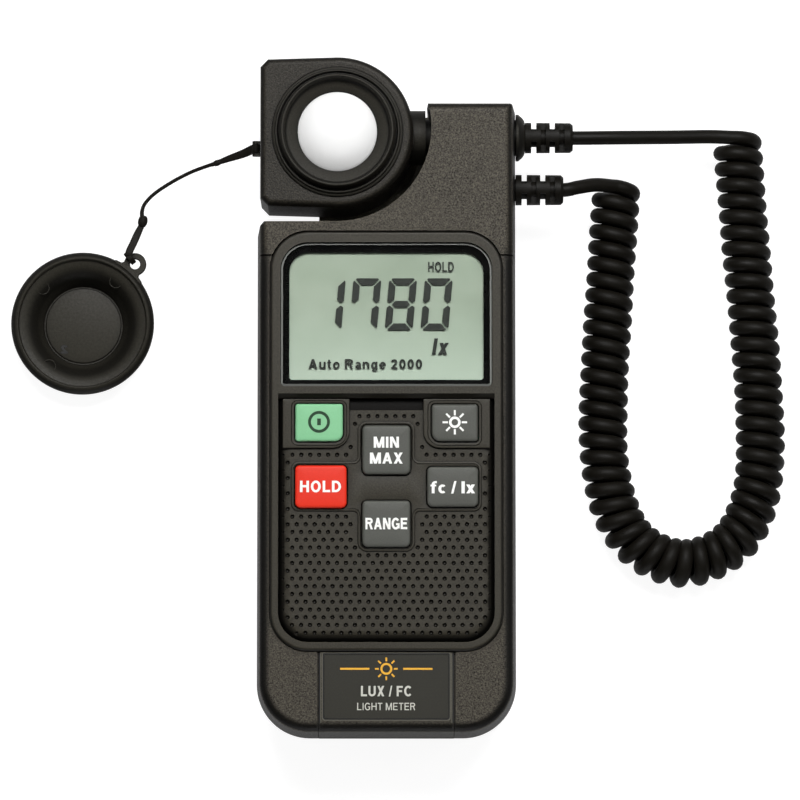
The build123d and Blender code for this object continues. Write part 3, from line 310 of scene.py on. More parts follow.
class Nodes:
    """Small wrapper that makes shader nodes and links in one call."""

    def __init__(self, name):
        self.material = bpy.data.materials.new(name)
        self.material.use_nodes = True
        self.tree = self.material.node_tree
        self.shader = self.tree.nodes["Principled BSDF"]
        self.output = self.tree.nodes["Material Output"]
        self.where = self.add("ShaderNodeTexCoord").outputs["Object"]

    def add(self, kind, inputs=None, **settings):
        """New node; inputs are values or links by socket name, settings are its properties."""
        node = self.tree.nodes.new(kind)
        for key, value in settings.items():
            setattr(node, key, value)
        for key, value in (inputs or {}).items():
            self.feed(node.inputs[key], value)
        return node

    def feed(self, socket, value):
        """Links another node's output to the socket, or sets a plain value."""
        if isinstance(value, bpy.types.NodeSocket):
            self.tree.links.new(value, socket)
        else:
            socket.default_value = value

    def noise(self, size_mm, detail=2.0, roughness=0.5):
        """Cloudy pattern whose largest features are about this size."""
        scale = 1.0 / (size_mm * MM)
        node = self.add("ShaderNodeTexNoise", {"Vector": self.where, "Scale": scale, "Detail": detail,
                                               "Roughness": roughness})
        return node.outputs["Fac"]

    def cells(self, size_mm):
        """Distance to the nearest of scattered points about this far apart."""
        scale = 1.0 / (size_mm * MM)
        node = self.add("ShaderNodeTexVoronoi", {"Vector": self.where, "Scale": scale})
        return node.outputs["Distance"]

    def ramp(self, value, low, high, to_low=0.0, to_high=1.0):
        """The value moved from one range to another and held at its ends."""
        node = self.add("ShaderNodeMapRange", {"Value": value, "From Min": low, "From Max": high,
                                               "To Min": to_low, "To Max": to_high})
        return node.outputs["Result"]

    def math(self, operation, a, b=0.0):
        node = self.add("ShaderNodeMath", {0: a, 1: b}, operation=operation)
        return node.outputs[0]

    def times(self, a, b):
        return self.math("MULTIPLY", a, b)

    def mix(self, share, a, b):
        """Colour between a and b."""
        node = self.add("ShaderNodeMix", data_type="RGBA")
        self.feed(node.inputs["Factor"], share)
        self.feed(node.inputs["A"], a)
        self.feed(node.inputs["B"], b)
        return node.outputs["Result"]

    def bump(self, height, depth_mm):
        """Surface direction of a relief of this depth."""
        node = self.add("ShaderNodeBump", {"Height": height, "Distance": depth_mm * MM, "Strength": 1.0})
        return node.outputs["Normal"]

    def edge_wear_and_highlight(self, radius_mm):
        """Near 1 on sharp edges, 0 on flats, from the difference of rounded and true normals; it lightens edges,
        partly as rubbed wear and partly as painted highlight.
        """
        rounded = self.add("ShaderNodeBevel", {"Radius": radius_mm * MM}, samples=4)
        plain = self.add("ShaderNodeNewGeometry")
        dot = self.add("ShaderNodeVectorMath", {0: rounded.outputs["Normal"], 1: plain.outputs["Normal"]},
                       operation="DOT_PRODUCT")
        return self.ramp(dot.outputs["Value"], 0.995, 0.80)

    def crease(self, reach_mm, darkest=0.1):
        """Painted shade: factor from ambient occlusion that falls towards `darkest` in pits, grooves and inner
        corners.
        """
        node = self.add("ShaderNodeAmbientOcclusion", {"Distance": reach_mm * MM}, samples=6)
        return self.ramp(node.outputs["AO"], 0.30, 0.95, darkest, 1.0)

    def split(self, vector):
        return self.add("ShaderNodeSeparateXYZ", {0: vector}).outputs

    def normal_up(self):
        """Upward part of the surface's direction, in the object's own frame."""
        return self.split(self.add("ShaderNodeTexCoord").outputs["Normal"])["Z"]

    def falloff(self, darkest):
        """Painted shade: factor that falls towards `darkest` on rounded edges and on faces seen almost edge-on."""
        up = self.math("ABSOLUTE", self.normal_up())
        level_squared = self.math("SUBTRACT", 1.0, self.times(up, up))
        level = self.math("SQRT", self.math("MAXIMUM", level_squared))
        rounding = self.ramp(self.math("MAXIMUM", up, level), 0.985, 0.80, 1.0, darkest)
        slant = self.add("ShaderNodeLayerWeight", {"Blend": 0.5}).outputs["Facing"]
        grazing = self.ramp(slant, 0.78, 0.88, 1.0, darkest)
        return self.math("MINIMUM", rounding, grazing)

    def painted_rim_shade(self, darkest):
        """Painted shade: factor that falls towards `darkest` over the front shell's long, gently rounded rim."""
        corner = SHELL_CORNER * MM
        place = self.split(self.where)
        width = self.math("ABSOLUTE", place["X"])
        across = self.math("MAXIMUM", self.math("SUBTRACT", width, BODY_HIGH.x * MM - corner), 0.0)
        along = self.math("MAXIMUM", self.math("SUBTRACT", BODY_LOW.y * MM + corner, place["Y"]), 0.0)
        squares = self.math("ADD", self.times(across, across), self.times(along, along))
        rim = self.ramp(self.math("SQRT", squares), corner - RIM_START * MM, corner - RIM_FULL * MM, 1.0,
                        darkest)
        upward = self.math("GREATER_THAN", self.normal_up(), 0.5)
        lower = self.ramp(place["Y"], RIM_FADE_END * MM, RIM_FADE_START * MM)
        return self.ramp(self.times(upward, lower), 0.0, 1.0, 1.0, rim)

    def shade(self, **inputs):
        """Feeds the main shader by plain names and gives the finished material."""
        names = {"colour": "Base Color", "roughness": "Roughness", "normal": "Normal", "metal": "Metallic",
                 "specular": "Specular IOR Level", "subsurface": "Subsurface Weight",
                 "transmission": "Transmission Weight", "ior": "IOR", "coat": "Coat Weight",
                 "coat_roughness": "Coat Roughness", "sheen": "Sheen Weight"}
        for key, value in inputs.items():
            self.feed(self.shader.inputs[names[key]], value)
        return self.material


def colour(red, green, blue):
    """Linear colour from 0 to 255 display values."""
    def linear(c):
        c = c / 255
        return c / 12.92 if c <= 0.04045 else ((c + 0.055) / 1.055) ** 2.4
    return (linear(red), linear(green), linear(blue), 1.0)


def shifted(base, factor):
    """The colour made lighter or darker by a factor."""
    return tuple(min(c * factor, 1.0) for c in base[:3]) + (1.0,)


def moulded(name, base, grain_mm, grain_depth, roughness=0.5, mottle=0.22, specular=0.35, wear_and_highlight=0.35,
            crease_shade_mm=0.0, slant=0.0, rim=0.0):
    """Moulded plastic with spark grain, slow tone variation, and sharp edges lightened partly as rubbed wear,
    partly as painted highlight.

    The crease, slant and rim settings paint shade into inner corners, onto slopes and over the shell's rim.
    """
    n = Nodes(name)
    grain = n.noise(grain_mm, detail=4.0, roughness=0.7)
    pits = n.cells(grain_mm * 1.6)
    slow = n.noise(22.0, detail=2.0)
    speckle = n.ramp(grain, 0.35, 0.68)
    tone = n.mix(speckle, shifted(base, 1 - mottle), shifted(base, 1 + mottle))
    tone = n.mix(n.ramp(slow, 0.3, 0.7, 0.0, 0.35), tone, shifted(base, 1.18))
    # Sharp edges lightened: partly rubbed wear, partly painted highlight.
    if wear_and_highlight:
        tone = n.mix(n.times(n.edge_wear_and_highlight(0.5), wear_and_highlight), tone, shifted(base, 2.1))
    # Painted shade in creases, on slopes and over the shell's rim.
    if crease_shade_mm:
        tone = n.mix(n.crease(crease_shade_mm), CREASE_SHADE_TONE, tone)
    if slant:
        tone = n.mix(n.falloff(slant), SLOPE_SHADE_TONE, tone)
    if rim:
        tone = n.mix(n.painted_rim_shade(rim), SLOPE_SHADE_TONE, tone)
    surface = n.math("ADD", n.times(grain, 0.7), n.times(pits, 0.3))
    return n.shade(colour=tone, roughness=n.ramp(grain, 0.3, 0.7, roughness + 0.08, roughness - 0.08),
                   normal=n.bump(surface, grain_depth), specular=specular)


def rubber(name, base, roughness=0.5, grain_mm=0.25, depth=0.006, specular=0.4, sheen=0.0, mottle=0.08):
    """Smooth rubber or soft vinyl with a slight haze and dust."""
    n = Nodes(name)
    fine = n.noise(grain_mm, detail=2.0)
    haze = n.noise(9.0, detail=3.0)
    tone = n.mix(n.ramp(haze, 0.35, 0.7), shifted(base, 1 - mottle), shifted(base, 1 + 1.6 * mottle))
    return n.shade(colour=tone, roughness=n.ramp(haze, 0.3, 0.7, roughness - 0.06, roughness + 0.08),
                   normal=n.bump(fine, depth), specular=specular, sheen=sheen)


def steel(name):
    """Plated steel with fine scratches."""
    n = Nodes(name)
    base = (0.34, 0.34, 0.35, 1.0)
    scratch = n.noise(0.4, detail=4.0)
    return n.shade(colour=n.mix(scratch, base, shifted(base, 0.75)), metal=1.0,
                   roughness=n.ramp(scratch, 0.3, 0.7, 0.38, 0.52), normal=n.bump(scratch, 0.004))


def thin_window(name):
    """Clear window: what lies behind shows through, with a faint reflection on top and a painted pale highlight on
    its bevelled edges.
    """
    n = Nodes(name)
    waves = n.noise(30.0, detail=1.0)
    clear = n.add("ShaderNodeBsdfTransparent", {"Color": (0.97, 0.985, 0.975, 1.0)})
    gloss = n.add("ShaderNodeBsdfGlossy", {"Roughness": n.ramp(waves, 0.3, 0.7, 0.02, 0.05)})
    fresnel = n.add("ShaderNodeFresnel", {"IOR": 1.49})
    surface = n.add("ShaderNodeNewGeometry")
    outside = n.math("SUBTRACT", 1.0, surface.outputs["Backfacing"])
    share = n.times(fresnel.outputs[0], outside)
    mixed = n.add("ShaderNodeMixShader", {0: share, 1: clear.outputs[0], 2: gloss.outputs[0]})
    # Painted highlight: bevelled faces are partly pale grey matte, standing in for light caught on the window's
    # edges.
    lean = n.split(surface.outputs["True Normal"])["Z"]
    bevel = n.times(n.math("LESS_THAN", lean, 0.95), n.math("GREATER_THAN", lean, 0.3))
    edge = n.add("ShaderNodeBsdfDiffuse", {"Color": (0.62, 0.64, 0.60, 1.0)})
    finished = n.add("ShaderNodeMixShader", {0: n.times(bevel, 0.45), 1: mixed.outputs[0],
                                             2: edge.outputs[0]})
    n.feed(n.output.inputs["Surface"], finished.outputs[0])
    return n.material


def flat_tone(name, base, roughness=0.45):
    """Flat matte colour of slightly uneven tone, for printing ink and for painted shade and highlight lines."""
    n = Nodes(name)
    spread = n.noise(0.35, detail=2.0)
    return n.shade(colour=n.mix(spread, shifted(base, 0.94), shifted(base, 1.04)),
                   roughness=n.ramp(spread, 0.3, 0.7, roughness - 0.05, roughness + 0.1), specular=0.3)


def display_material():
    """Pale green reflective display with a faint cloudy tone, paler towards its lower edge."""
    n = Nodes("lcd_reflector")
    cloud = n.noise(14.0, detail=2.0)
    fine = n.noise(0.12, detail=1.0)
    tone = n.mix(n.ramp(cloud, 0.35, 0.65), colour(158, 168, 152), colour(170, 179, 164))
    tone = n.mix(n.times(fine, 0.10), tone, colour(120, 134, 116))
    along = n.split(n.add("ShaderNodeNewGeometry").outputs["Position"])["Y"]
    tone = n.mix(n.ramp(along, 30 * MM, 8 * MM, 0.0, 0.75), tone, colour(196, 208, 194))
    return n.shade(colour=tone, roughness=0.55, specular=0.15, normal=n.bump(fine, 0.002))


def dome_material():
    """Milky white plastic that scatters light, with a painted glow that evens out its shading."""
    n = Nodes("opal_dome")
    cloud = n.noise(6.0, detail=2.0)
    fine = n.noise(0.18, detail=2.0)
    n.shader.inputs["Subsurface Radius"].default_value = (0.004, 0.004, 0.004)
    n.shader.inputs["Subsurface Scale"].default_value = 0.5
    # Painted glow: a little emission stands in for light that the dome lets through.
    n.shader.inputs["Emission Color"].default_value = (1.0, 1.0, 0.99, 1.0)
    n.shader.inputs["Emission Strength"].default_value = 0.30
    return n.shade(colour=n.mix(cloud, (0.62, 0.62, 0.615, 1.0), (0.66, 0.66, 0.658, 1.0)), roughness=0.45,
                   subsurface=0.5, normal=n.bump(fine, 0.003), specular=0.25)


def board_material():
    """Green lacquered circuit board."""
    n = Nodes("board_mask")
    weave = n.cells(0.8)
    base = colour(18, 96, 52)
    return n.shade(colour=n.mix(weave, shifted(base, 0.8), shifted(base, 1.15)), roughness=0.35,
                   normal=n.bump(weave, 0.01), coat=0.3)


def felt_material():
    """Grey felt."""
    n = Nodes("felt")
    fuzz = n.noise(0.3, detail=5.0)
    base = colour(92, 92, 90)
    return n.shade(colour=n.mix(fuzz, shifted(base, 0.6), shifted(base, 1.3)), roughness=0.95, sheen=0.4,
                   normal=n.bump(fuzz, 0.12))


def filter_material():
    """Green glass over the photodiode."""
    n = Nodes("green_filter")
    cloud = n.noise(3.0)
    return n.shade(colour=n.mix(cloud, (0.30, 0.62, 0.42, 1.0), (0.36, 0.68, 0.47, 1.0)),
                   roughness=n.ramp(cloud, 0.3, 0.7, 0.05, 0.1), transmission=0.6)


# ---- Materials ----------------------------------------------------------------------------------
CASE = moulded("case_plastic", colour(65, 61, 53), 0.42, 0.10, roughness=0.48, mottle=1.0, specular=0.14,
               crease_shade_mm=1.8, slant=0.15, rim=0.10)
HEAD = moulded("head_plastic", colour(41, 38, 32), 0.42, 0.10, roughness=0.48, mottle=1.0, specular=0.16,
               crease_shade_mm=2.5, slant=0.25)
REAR = moulded("rear_plastic", colour(86, 83, 73), 0.42, 0.10, roughness=0.5, mottle=0.4, specular=0.2,
               crease_shade_mm=3.0)
PANEL = moulded("panel_plastic", colour(50, 47, 39), 0.42, 0.03, roughness=0.46, mottle=0.40, specular=0.2,
                crease_shade_mm=2.6, slant=0.12)
# Near-black painted shadow for the trough under the display's bar.
SHADED = moulded("trough_painted_shadow", colour(14, 13, 11), 0.42, 0.03, roughness=0.6, mottle=0.2, specular=0.1,
                 wear_and_highlight=0.0)
COLLAR = moulded("collar_plastic", colour(42, 40, 34), 0.42, 0.02, roughness=0.55, mottle=0.30,
                 specular=0.16, crease_shade_mm=1.8, slant=0.2)
CAP_PLASTIC = moulded("cap_plastic", colour(46, 44, 38), 0.6, 0.03, roughness=0.46, mottle=0.25,
                      specular=0.12, wear_and_highlight=0.1, crease_shade_mm=3.0, slant=0.22)
LABEL = moulded("label_foil", colour(44, 43, 37), 0.45, 0.012, roughness=0.42, mottle=0.12, wear_and_highlight=0.0,
                specular=0.2)
KEY_GREY = moulded("key_grey", colour(76, 77, 72), 0.35, 0.018, roughness=0.5, mottle=0.12, wear_and_highlight=0.2,
                   specular=0.25, crease_shade_mm=0.8)
KEY_GREEN = moulded("key_green", colour(124, 184, 138), 0.30, 0.010, roughness=0.5, mottle=0.05, wear_and_highlight=0.1,
                    specular=0.25, crease_shade_mm=0.8)
KEY_RED = moulded("key_red", colour(214, 46, 26), 0.30, 0.010, roughness=0.5, mottle=0.05, wear_and_highlight=0.1,
                  specular=0.2, crease_shade_mm=0.8)
CABLE = rubber("cable_jacket", colour(15, 13, 9), roughness=0.52, specular=0.12)
NYLON = rubber("lanyard_nylon", colour(15, 12, 7), roughness=0.6, grain_mm=0.18, depth=0.05, specular=0.15)
SILICONE = rubber("silicone", colour(132, 132, 130), roughness=0.65)
COMPONENT = rubber("component_epoxy", colour(34, 34, 34), roughness=0.5)
WIRE = rubber("wire_jacket", colour(170, 30, 24), roughness=0.45)
GUIDE = rubber("light_guide", colour(228, 232, 228), roughness=0.35)
MASK = rubber("window_mask", colour(7, 7, 7), roughness=0.14, depth=0.001, specular=0.15)
BATTERY = moulded("battery_jacket", colour(58, 58, 62), 0.3, 0.004, roughness=0.35, mottle=0.04)
STEEL = steel("zinc_steel")
WINDOW = thin_window("clear_window")
DISPLAY = display_material()
DOME = dome_material()
BOARD = board_material()
FELT = felt_material()
FILTER = filter_material()
SEGMENT = flat_tone("display_segment", colour(27, 30, 25), roughness=0.5)
WHITE_INK = flat_tone("white_legend", colour(240, 240, 236))
DARK_GREEN_INK = flat_tone("power_legend", colour(4, 50, 20))
# Black for painted shade lines at the label and in the seams, and for the cap's mould number.
SHADE_AND_MARK_BLACK = flat_tone("shade_and_mark_black", colour(14, 13, 11))
# Pale grey for painted highlight lines round the label and on the seams' lips.
EDGE_HIGHLIGHT_GREY = flat_tone("painted_edge_highlight", colour(82, 80, 70))
LABEL_INK = flat_tone("label_print", colour(196, 195, 186))
AMBER_INK = flat_tone("label_accent", colour(226, 168, 48))

SLOT_MATERIALS = {
    "case_dark": CASE, "panel_dark": PANEL, "collar_dark": COLLAR, "cap_plastic": CAP_PLASTIC,
    "label_black": LABEL, "key_grey": KEY_GREY, "key_green": KEY_GREEN, "key_red": KEY_RED,
    "silicone_grey": SILICONE, "clear_window": WINDOW, "window_mask": MASK, "lcd_green": DISPLAY,
    "diffuser_plastic": GUIDE, "board_green": BOARD, "component_black": COMPONENT, "screw_steel": STEEL,
    "battery_can": BATTERY, "snap_black": COMPONENT, "wire_jacket": WIRE, "dome_white": DOME,
    "filter_glass": FILTER, "pad_felt": FELT, "cable_rubber": CABLE, "lanyard_nylon": NYLON,
}
SHELL_MATERIALS = {"head_front_shell": HEAD, "head_rear_shell": HEAD, "rear_cover": REAR}


def dress_cad_nodes():
    """Gives each carried-over CAD node the material of its slot; the two head shells take a darker material and
    the rear cover a lighter one.
    """
    for row in frame["record"]["subparts"]:
        mesh = NODES[row["node"]].data
        mesh.materials.clear()
        slot = SLOT_MATERIALS[row["material_slot"]]
        mesh.materials.append(SHELL_MATERIALS.get(row["node"], slot))


# ---- Keypad plate -------------------------------------------------------------------------------
DIMPLE_PITCH = 2.335          # along a row
ROW_STEP = DIMPLE_PITCH * math.sqrt(3) / 2
FIRST_ROW = 2.35              # from the plate's lower edge
DIMPLE_ROWS, HALF_ROW = 30, 12
DIMPLE_RADIUS = 0.60
DIMPLE_DEPTH = 0.62
DIMPLE_CURVE = 2.6            # 2 would be a round bowl; more makes the floor flatter
DIMPLE_SIDES = 14
DIMPLE_RINGS = (1.0, 0.84, 0.62, 0.36)
INSIDE_DIMPLE = 0.995         # share of the radius; points on the rim itself stay up
DIMPLE_CLEARANCE = 0.72       # from the raised fields
DIMPLE_EDGE_GAP = 0.95        # from the plate's outer edge
PILLOW = 3.2                  # rounding of the plate's outer edges
PILLOW_DEPTH = 2.3
BASE_TOP, TROUGH_TOP, ISLAND_TOP, PLATEAU_TOP = 35.0, 33.6, 35.35, 35.7
PLATEAU_LOW_Y, PLATEAU_INNER_X, PLATEAU_OUTER_X = -8.6, 9.6, 27.1
TROUGH_Y = 1.4
PLATE_CORNER = 7.8
PLATEAU_CORNER = 4.4
ISLAND_CORNERS = [(-24.9, -25.1, 2.2), (-7.5, -25.1, 1.2), (-7.5, -35.6, 2.5), (7.5, -35.6, 2.5),
                  (7.5, -25.1, 1.2), (24.9, -25.1, 2.2), (24.9, -11.9, 2.2), (7.5, -11.9, 1.2),
                  (7.5, -1.4, 2.5), (-7.5, -1.4, 2.5), (-7.5, -11.9, 1.2), (-24.9, -11.9, 2.2)]
KEY_RADII = {"key_power": (0.8, 2.2, 0.8, 0.8), "key_backlight": (2.2, 0.8, 0.8, 0.8)}
LOWER_RADII = (1.5, 1.5, 1.2, 1.2)
KEY_FLANGE = 0.7              # how far a key's hidden flange stands out
KEY_GAP = 0.16                # between a key and its hole
HOLE_EDGE = 0.2               # rounding of the holes' edges


def key_corners(node):
    """Outline of a key above its hidden flange."""
    low, high = box_mm(node)
    return rectangle(low.x + KEY_FLANGE, high.x - KEY_FLANGE, low.y + KEY_FLANGE, high.y - KEY_FLANGE,
                     KEY_RADII.get(node, LOWER_RADII))


def pillow_drop(x, y):
    """How far the plate's top falls towards its left, right and lower edges."""
    dx = PLATE_HIGH.x - abs(x)
    dy = y - PLATE_LOW.y
    distance = min(dx, dy)
    if dx < PLATE_CORNER and dy < PLATE_CORNER:
        distance = PLATE_CORNER - math.hypot(PLATE_CORNER - dx, PLATE_CORNER - dy)
    rest = min(max(PILLOW - distance, 0.0), PILLOW)
    return PILLOW_DEPTH * (math.sqrt(1 - (rest / PILLOW) ** 2) - 1)


def plate_corners():
    """Outline of the dotted base: full width below, stepped round the plateaus and the trough above."""
    half, low_y, high_y = PLATE_HIGH.x, PLATE_LOW.y, PLATE_HIGH.y
    inner, outer = PLATEAU_INNER_X, PLATEAU_OUTER_X
    right = [(half, low_y, PLATE_CORNER), (half, high_y, 0.4), (outer, high_y, 0.1),
             (outer, PLATEAU_LOW_Y, 0.1), (inner, PLATEAU_LOW_Y, PLATEAU_CORNER), (inner, TROUGH_Y, 0.1)]
    return [(-half, low_y, PLATE_CORNER)] + right + [(-x, y, radius) for x, y, radius in right[:0:-1]]


def dimple_places():
    """Staggered rows of dimples wherever the base is open, smaller on its rounded edges."""
    island = rounded_loop(ISLAND_CORNERS, -DIMPLE_CLEARANCE)
    open_field = rounded_loop(plate_corners(), DIMPLE_CLEARANCE)
    for row in range(DIMPLE_ROWS):
        y = PLATE_LOW.y + FIRST_ROW + row * ROW_STEP
        offset = DIMPLE_PITCH / 2 if row % 2 else 0.0
        for column in range(-HALF_ROW, HALF_ROW + 1):
            x = column * DIMPLE_PITCH + offset
            edge_gap = PLATE_HIGH.x - abs(x)
            corner = PLATE_CORNER - math.hypot(max(PLATE_CORNER - edge_gap, 0),
                                               max(PLATE_CORNER - (y - PLATE_LOW.y), 0))
            gap = min(edge_gap, corner)
            if gap < DIMPLE_EDGE_GAP or not inside((x, y), open_field) or inside((x, y), island):
                continue
            yield x, y, DIMPLE_RADIUS * min(0.45 + 0.55 * (gap - DIMPLE_EDGE_GAP), 1.0)


def closed_plate(name, points, faces, boundary, holes, material, crease):
    """Finishes a field from its top skin: a flat floor, and a wall under each open edge."""
    floor_z = PLATE_LOW.z
    walls = open_edges(faces)
    floor_points, floor_faces = filled_region(boundary, holes, [], [], lambda x, y: floor_z)
    add_skin(points, faces, floor_points, [tuple(reversed(face)) for face in floor_faces])
    for a, b in walls:
        foot = len(points)
        points += [(points[a][0], points[a][1], floor_z), (points[b][0], points[b][1], floor_z)]
        faces.append((b, a, foot, foot + 1))
    return mesh_object(name, points, faces, material, "meter_body", crease)


def keypad_plate():
    """Dotted base of the faceplate, with real dimples and pillowed outer edges."""
    half = PLATE_HIGH.x
    past_top = PLATE_HIGH.y + 20          # the rounded edge runs out over the plate's upper end
    full = rectangle(-half, half, PLATE_LOW.y, past_top, (PLATE_CORNER, PLATE_CORNER, 1, 1))
    lines = [rounded_loop(full, inset) for inset in (0.12, 0.35, 0.7, 1.1, PILLOW)]
    dots = []
    near = {}
    for x, y, radius in dimple_places():
        for share in DIMPLE_RINGS:
            lines.append([(x + u, y + v) for u, v in circle(radius * share, DIMPLE_SIDES)])
        dots.append((x, y))
        near.setdefault((int(x // DIMPLE_PITCH), int(y // DIMPLE_PITCH)), []).append((x, y, radius))

    def height(x, y):
        top = BASE_TOP + pillow_drop(x, y)
        column = int(x // DIMPLE_PITCH)
        row = int(y // DIMPLE_PITCH)
        for cell in [(i, j) for i in range(column - 1, column + 2) for j in range(row - 1, row + 2)]:
            for dimple_x, dimple_y, radius in near.get(cell, ()):
                share = math.hypot(x - dimple_x, y - dimple_y) / radius
                if share < INSIDE_DIMPLE:
                    top -= DIMPLE_DEPTH * (radius / DIMPLE_RADIUS) * (1 - share ** DIMPLE_CURVE)
        return top

    outline = rounded_loop(plate_corners())
    island = rounded_loop(ISLAND_CORNERS, 0.1)
    points, faces = filled_region(outline, [island], lines, dots, height)
    piece = closed_plate("keypad_dotted_plate", points, faces, outline, [island], PANEL, crease=50)
    stands_for(piece, "panel_dark", "keypad_faceplate")


def raised_field(name, corners, z_top, material=PANEL, edge=0.25, holes=(), grooves=()):
    """Field of the faceplate with rounded edges, rounded holes and thin V grooves.

    holes are (corner list, inset) pairs; grooves have a width and a depth as well.
    """
    ring_sets = [[(rounded_loop(corners, inset), z_top - drop) for inset, drop in edge_profile(edge)]]
    for shape, inset in holes:
        ring_sets.append([(rounded_loop(shape, inset - out), z_top - drop)
                          for out, drop in edge_profile(HOLE_EDGE)])
    groove_rings = []
    for shape, inset, width, depth in grooves:
        for offset, sink in ((-width / 2, 0), (0, depth), (width / 2, 0)):
            groove_rings.append((rounded_loop(shape, inset + offset), z_top - sink))
    edge_rings = [ring for rings in ring_sets for ring in rings[1:]]
    side_rings = [rings[0] for rings in ring_sets]
    levels = {}
    for loop, z in side_rings + edge_rings + groove_rings:
        for x, y in loop:
            levels[(round(x, 4), round(y, 4))] = z

    def level(x, y):
        return levels.get((round(x, 4), round(y, 4)), z_top)

    outer, *hole_loops = [loop for loop, _ in side_rings]
    lines = [loop for loop, _ in groove_rings + edge_rings]
    points, faces = filled_region(outer, hole_loops, lines, [], level)
    closed_plate(name, points, faces, outer, hole_loops, material, crease=40)


def keypad_raised_fields():
    """Island of the four lower keys, the two plateaus, and the trough between the plateaus, painted near black as
    shadow.
    """
    holes = [(key_corners(node), -KEY_GAP) for node in ("key_min_max", "key_hold", "key_units", "key_range")]
    raised_field("keypad_island", ISLAND_CORNERS, ISLAND_TOP, edge=0.3, holes=holes,
                 grooves=[(ISLAND_CORNERS, 0.75, 0.22, 0.16)])
    upper = (PLATEAU_LOW_Y, PLATE_HIGH.y)
    for side, span, radii in (
            ("power", (-PLATEAU_OUTER_X, -PLATEAU_INNER_X), (0.3, PLATEAU_CORNER, 0.3, 0.3)),
            ("backlight", (PLATEAU_INNER_X, PLATEAU_OUTER_X), (PLATEAU_CORNER, 0.3, 0.3, 0.3))):
        shape = key_corners("key_" + side)
        raised_field("plateau_" + side, rectangle(*span, *upper, radii), PLATEAU_TOP,
                     holes=[(shape, -KEY_GAP)], grooves=[(shape, -0.95, 0.22, 0.18)])
    half = PLATEAU_INNER_X + 0.1
    trough = rectangle(-half, half, TROUGH_Y, PLATE_HIGH.y, (0.1,) * 4)
    raised_field("keypad_trough", trough, TROUGH_TOP, SHADED, edge=0.05)


# ---- Keys and legends ---------------------------------------------------------------------------
KEY_TOP_EDGE = 0.75
KEY_DRAFT = 0.04
KEY_FOOT_TOP, KEY_WALL_TOP = 34.6, 35.9
KEY_CROWN = 0.12
PRINT_SINK = 0.01             # how deep a legend's underside lies in the key


def key_cap(node, material, slot):
    """Soft key with a rounded rim, a slight draft and a barely crowned top; gives its top's middle."""
    corners = key_corners(node)
    low, high = box_mm(node)
    rim = high.z - KEY_CROWN
    levels = [(0.0, low.z), (0.0, KEY_FOOT_TOP), (KEY_DRAFT, KEY_WALL_TOP)]
    levels += [(KEY_DRAFT + inset, rim - drop * 0.85) for inset, drop in edge_profile(KEY_TOP_EDGE, 6)]
    levels += [(1.3, rim + 0.05), (2.2, rim + 0.10), (3.2, rim + KEY_CROWN)]
    rings = [[(x, y, z) for x, y in rounded_loop(corners, inset)] for inset, z in levels]
    points, faces = loft(rings)
    cap = mesh_object(node + "_cap", points, faces, material, node, crease=60)
    stands_for(cap, slot, node)
    return (low.x + high.x) / 2, (low.y + high.y) / 2, high.z - PRINT_SINK


def arc(x, y, rx, ry, start, end, steps=14):
    """Points of an elliptical arc; angles in degrees."""
    points = []
    for step in range(steps + 1):
        angle = math.radians(start + (end - start) * step / steps)
        points.append((x + rx * math.cos(angle), y + ry * math.sin(angle)))
    return points


def bar(x_low, y_low, x_high, y_high, width):
    """Slanted bar whose ends are cut level."""
    half = width / 2 * math.hypot(x_high - x_low, y_high - y_low) / (y_high - y_low)
    return [[(x_low - half, y_low), (x_low + half, y_low), (x_high + half, y_high), (x_high - half, y_high)]]


def stroke(path, width, closed=False):
    """Outline loops of a line of constant width with mitred corners."""
    points = [Vector(p) for p in path]
    left, right = [], []
    last = len(points) - 1
    for i, point in enumerate(points):
        before = point - points[i - 1] if (closed or i > 0) else points[1] - point
        after = points[(i + 1) % len(points)] - point if (closed or i < last) else before
        n1 = Vector((-before.y, before.x)).normalized()
        n2 = Vector((-after.y, after.x)).normalized()
        reach = (n1 + n2) * (width / 2 / max(1 + n1.dot(n2), 0.35))
        left.append(tuple(point + reach))
        right.append(tuple(point - reach))
    return [left, right] if closed else [left + right[::-1]]


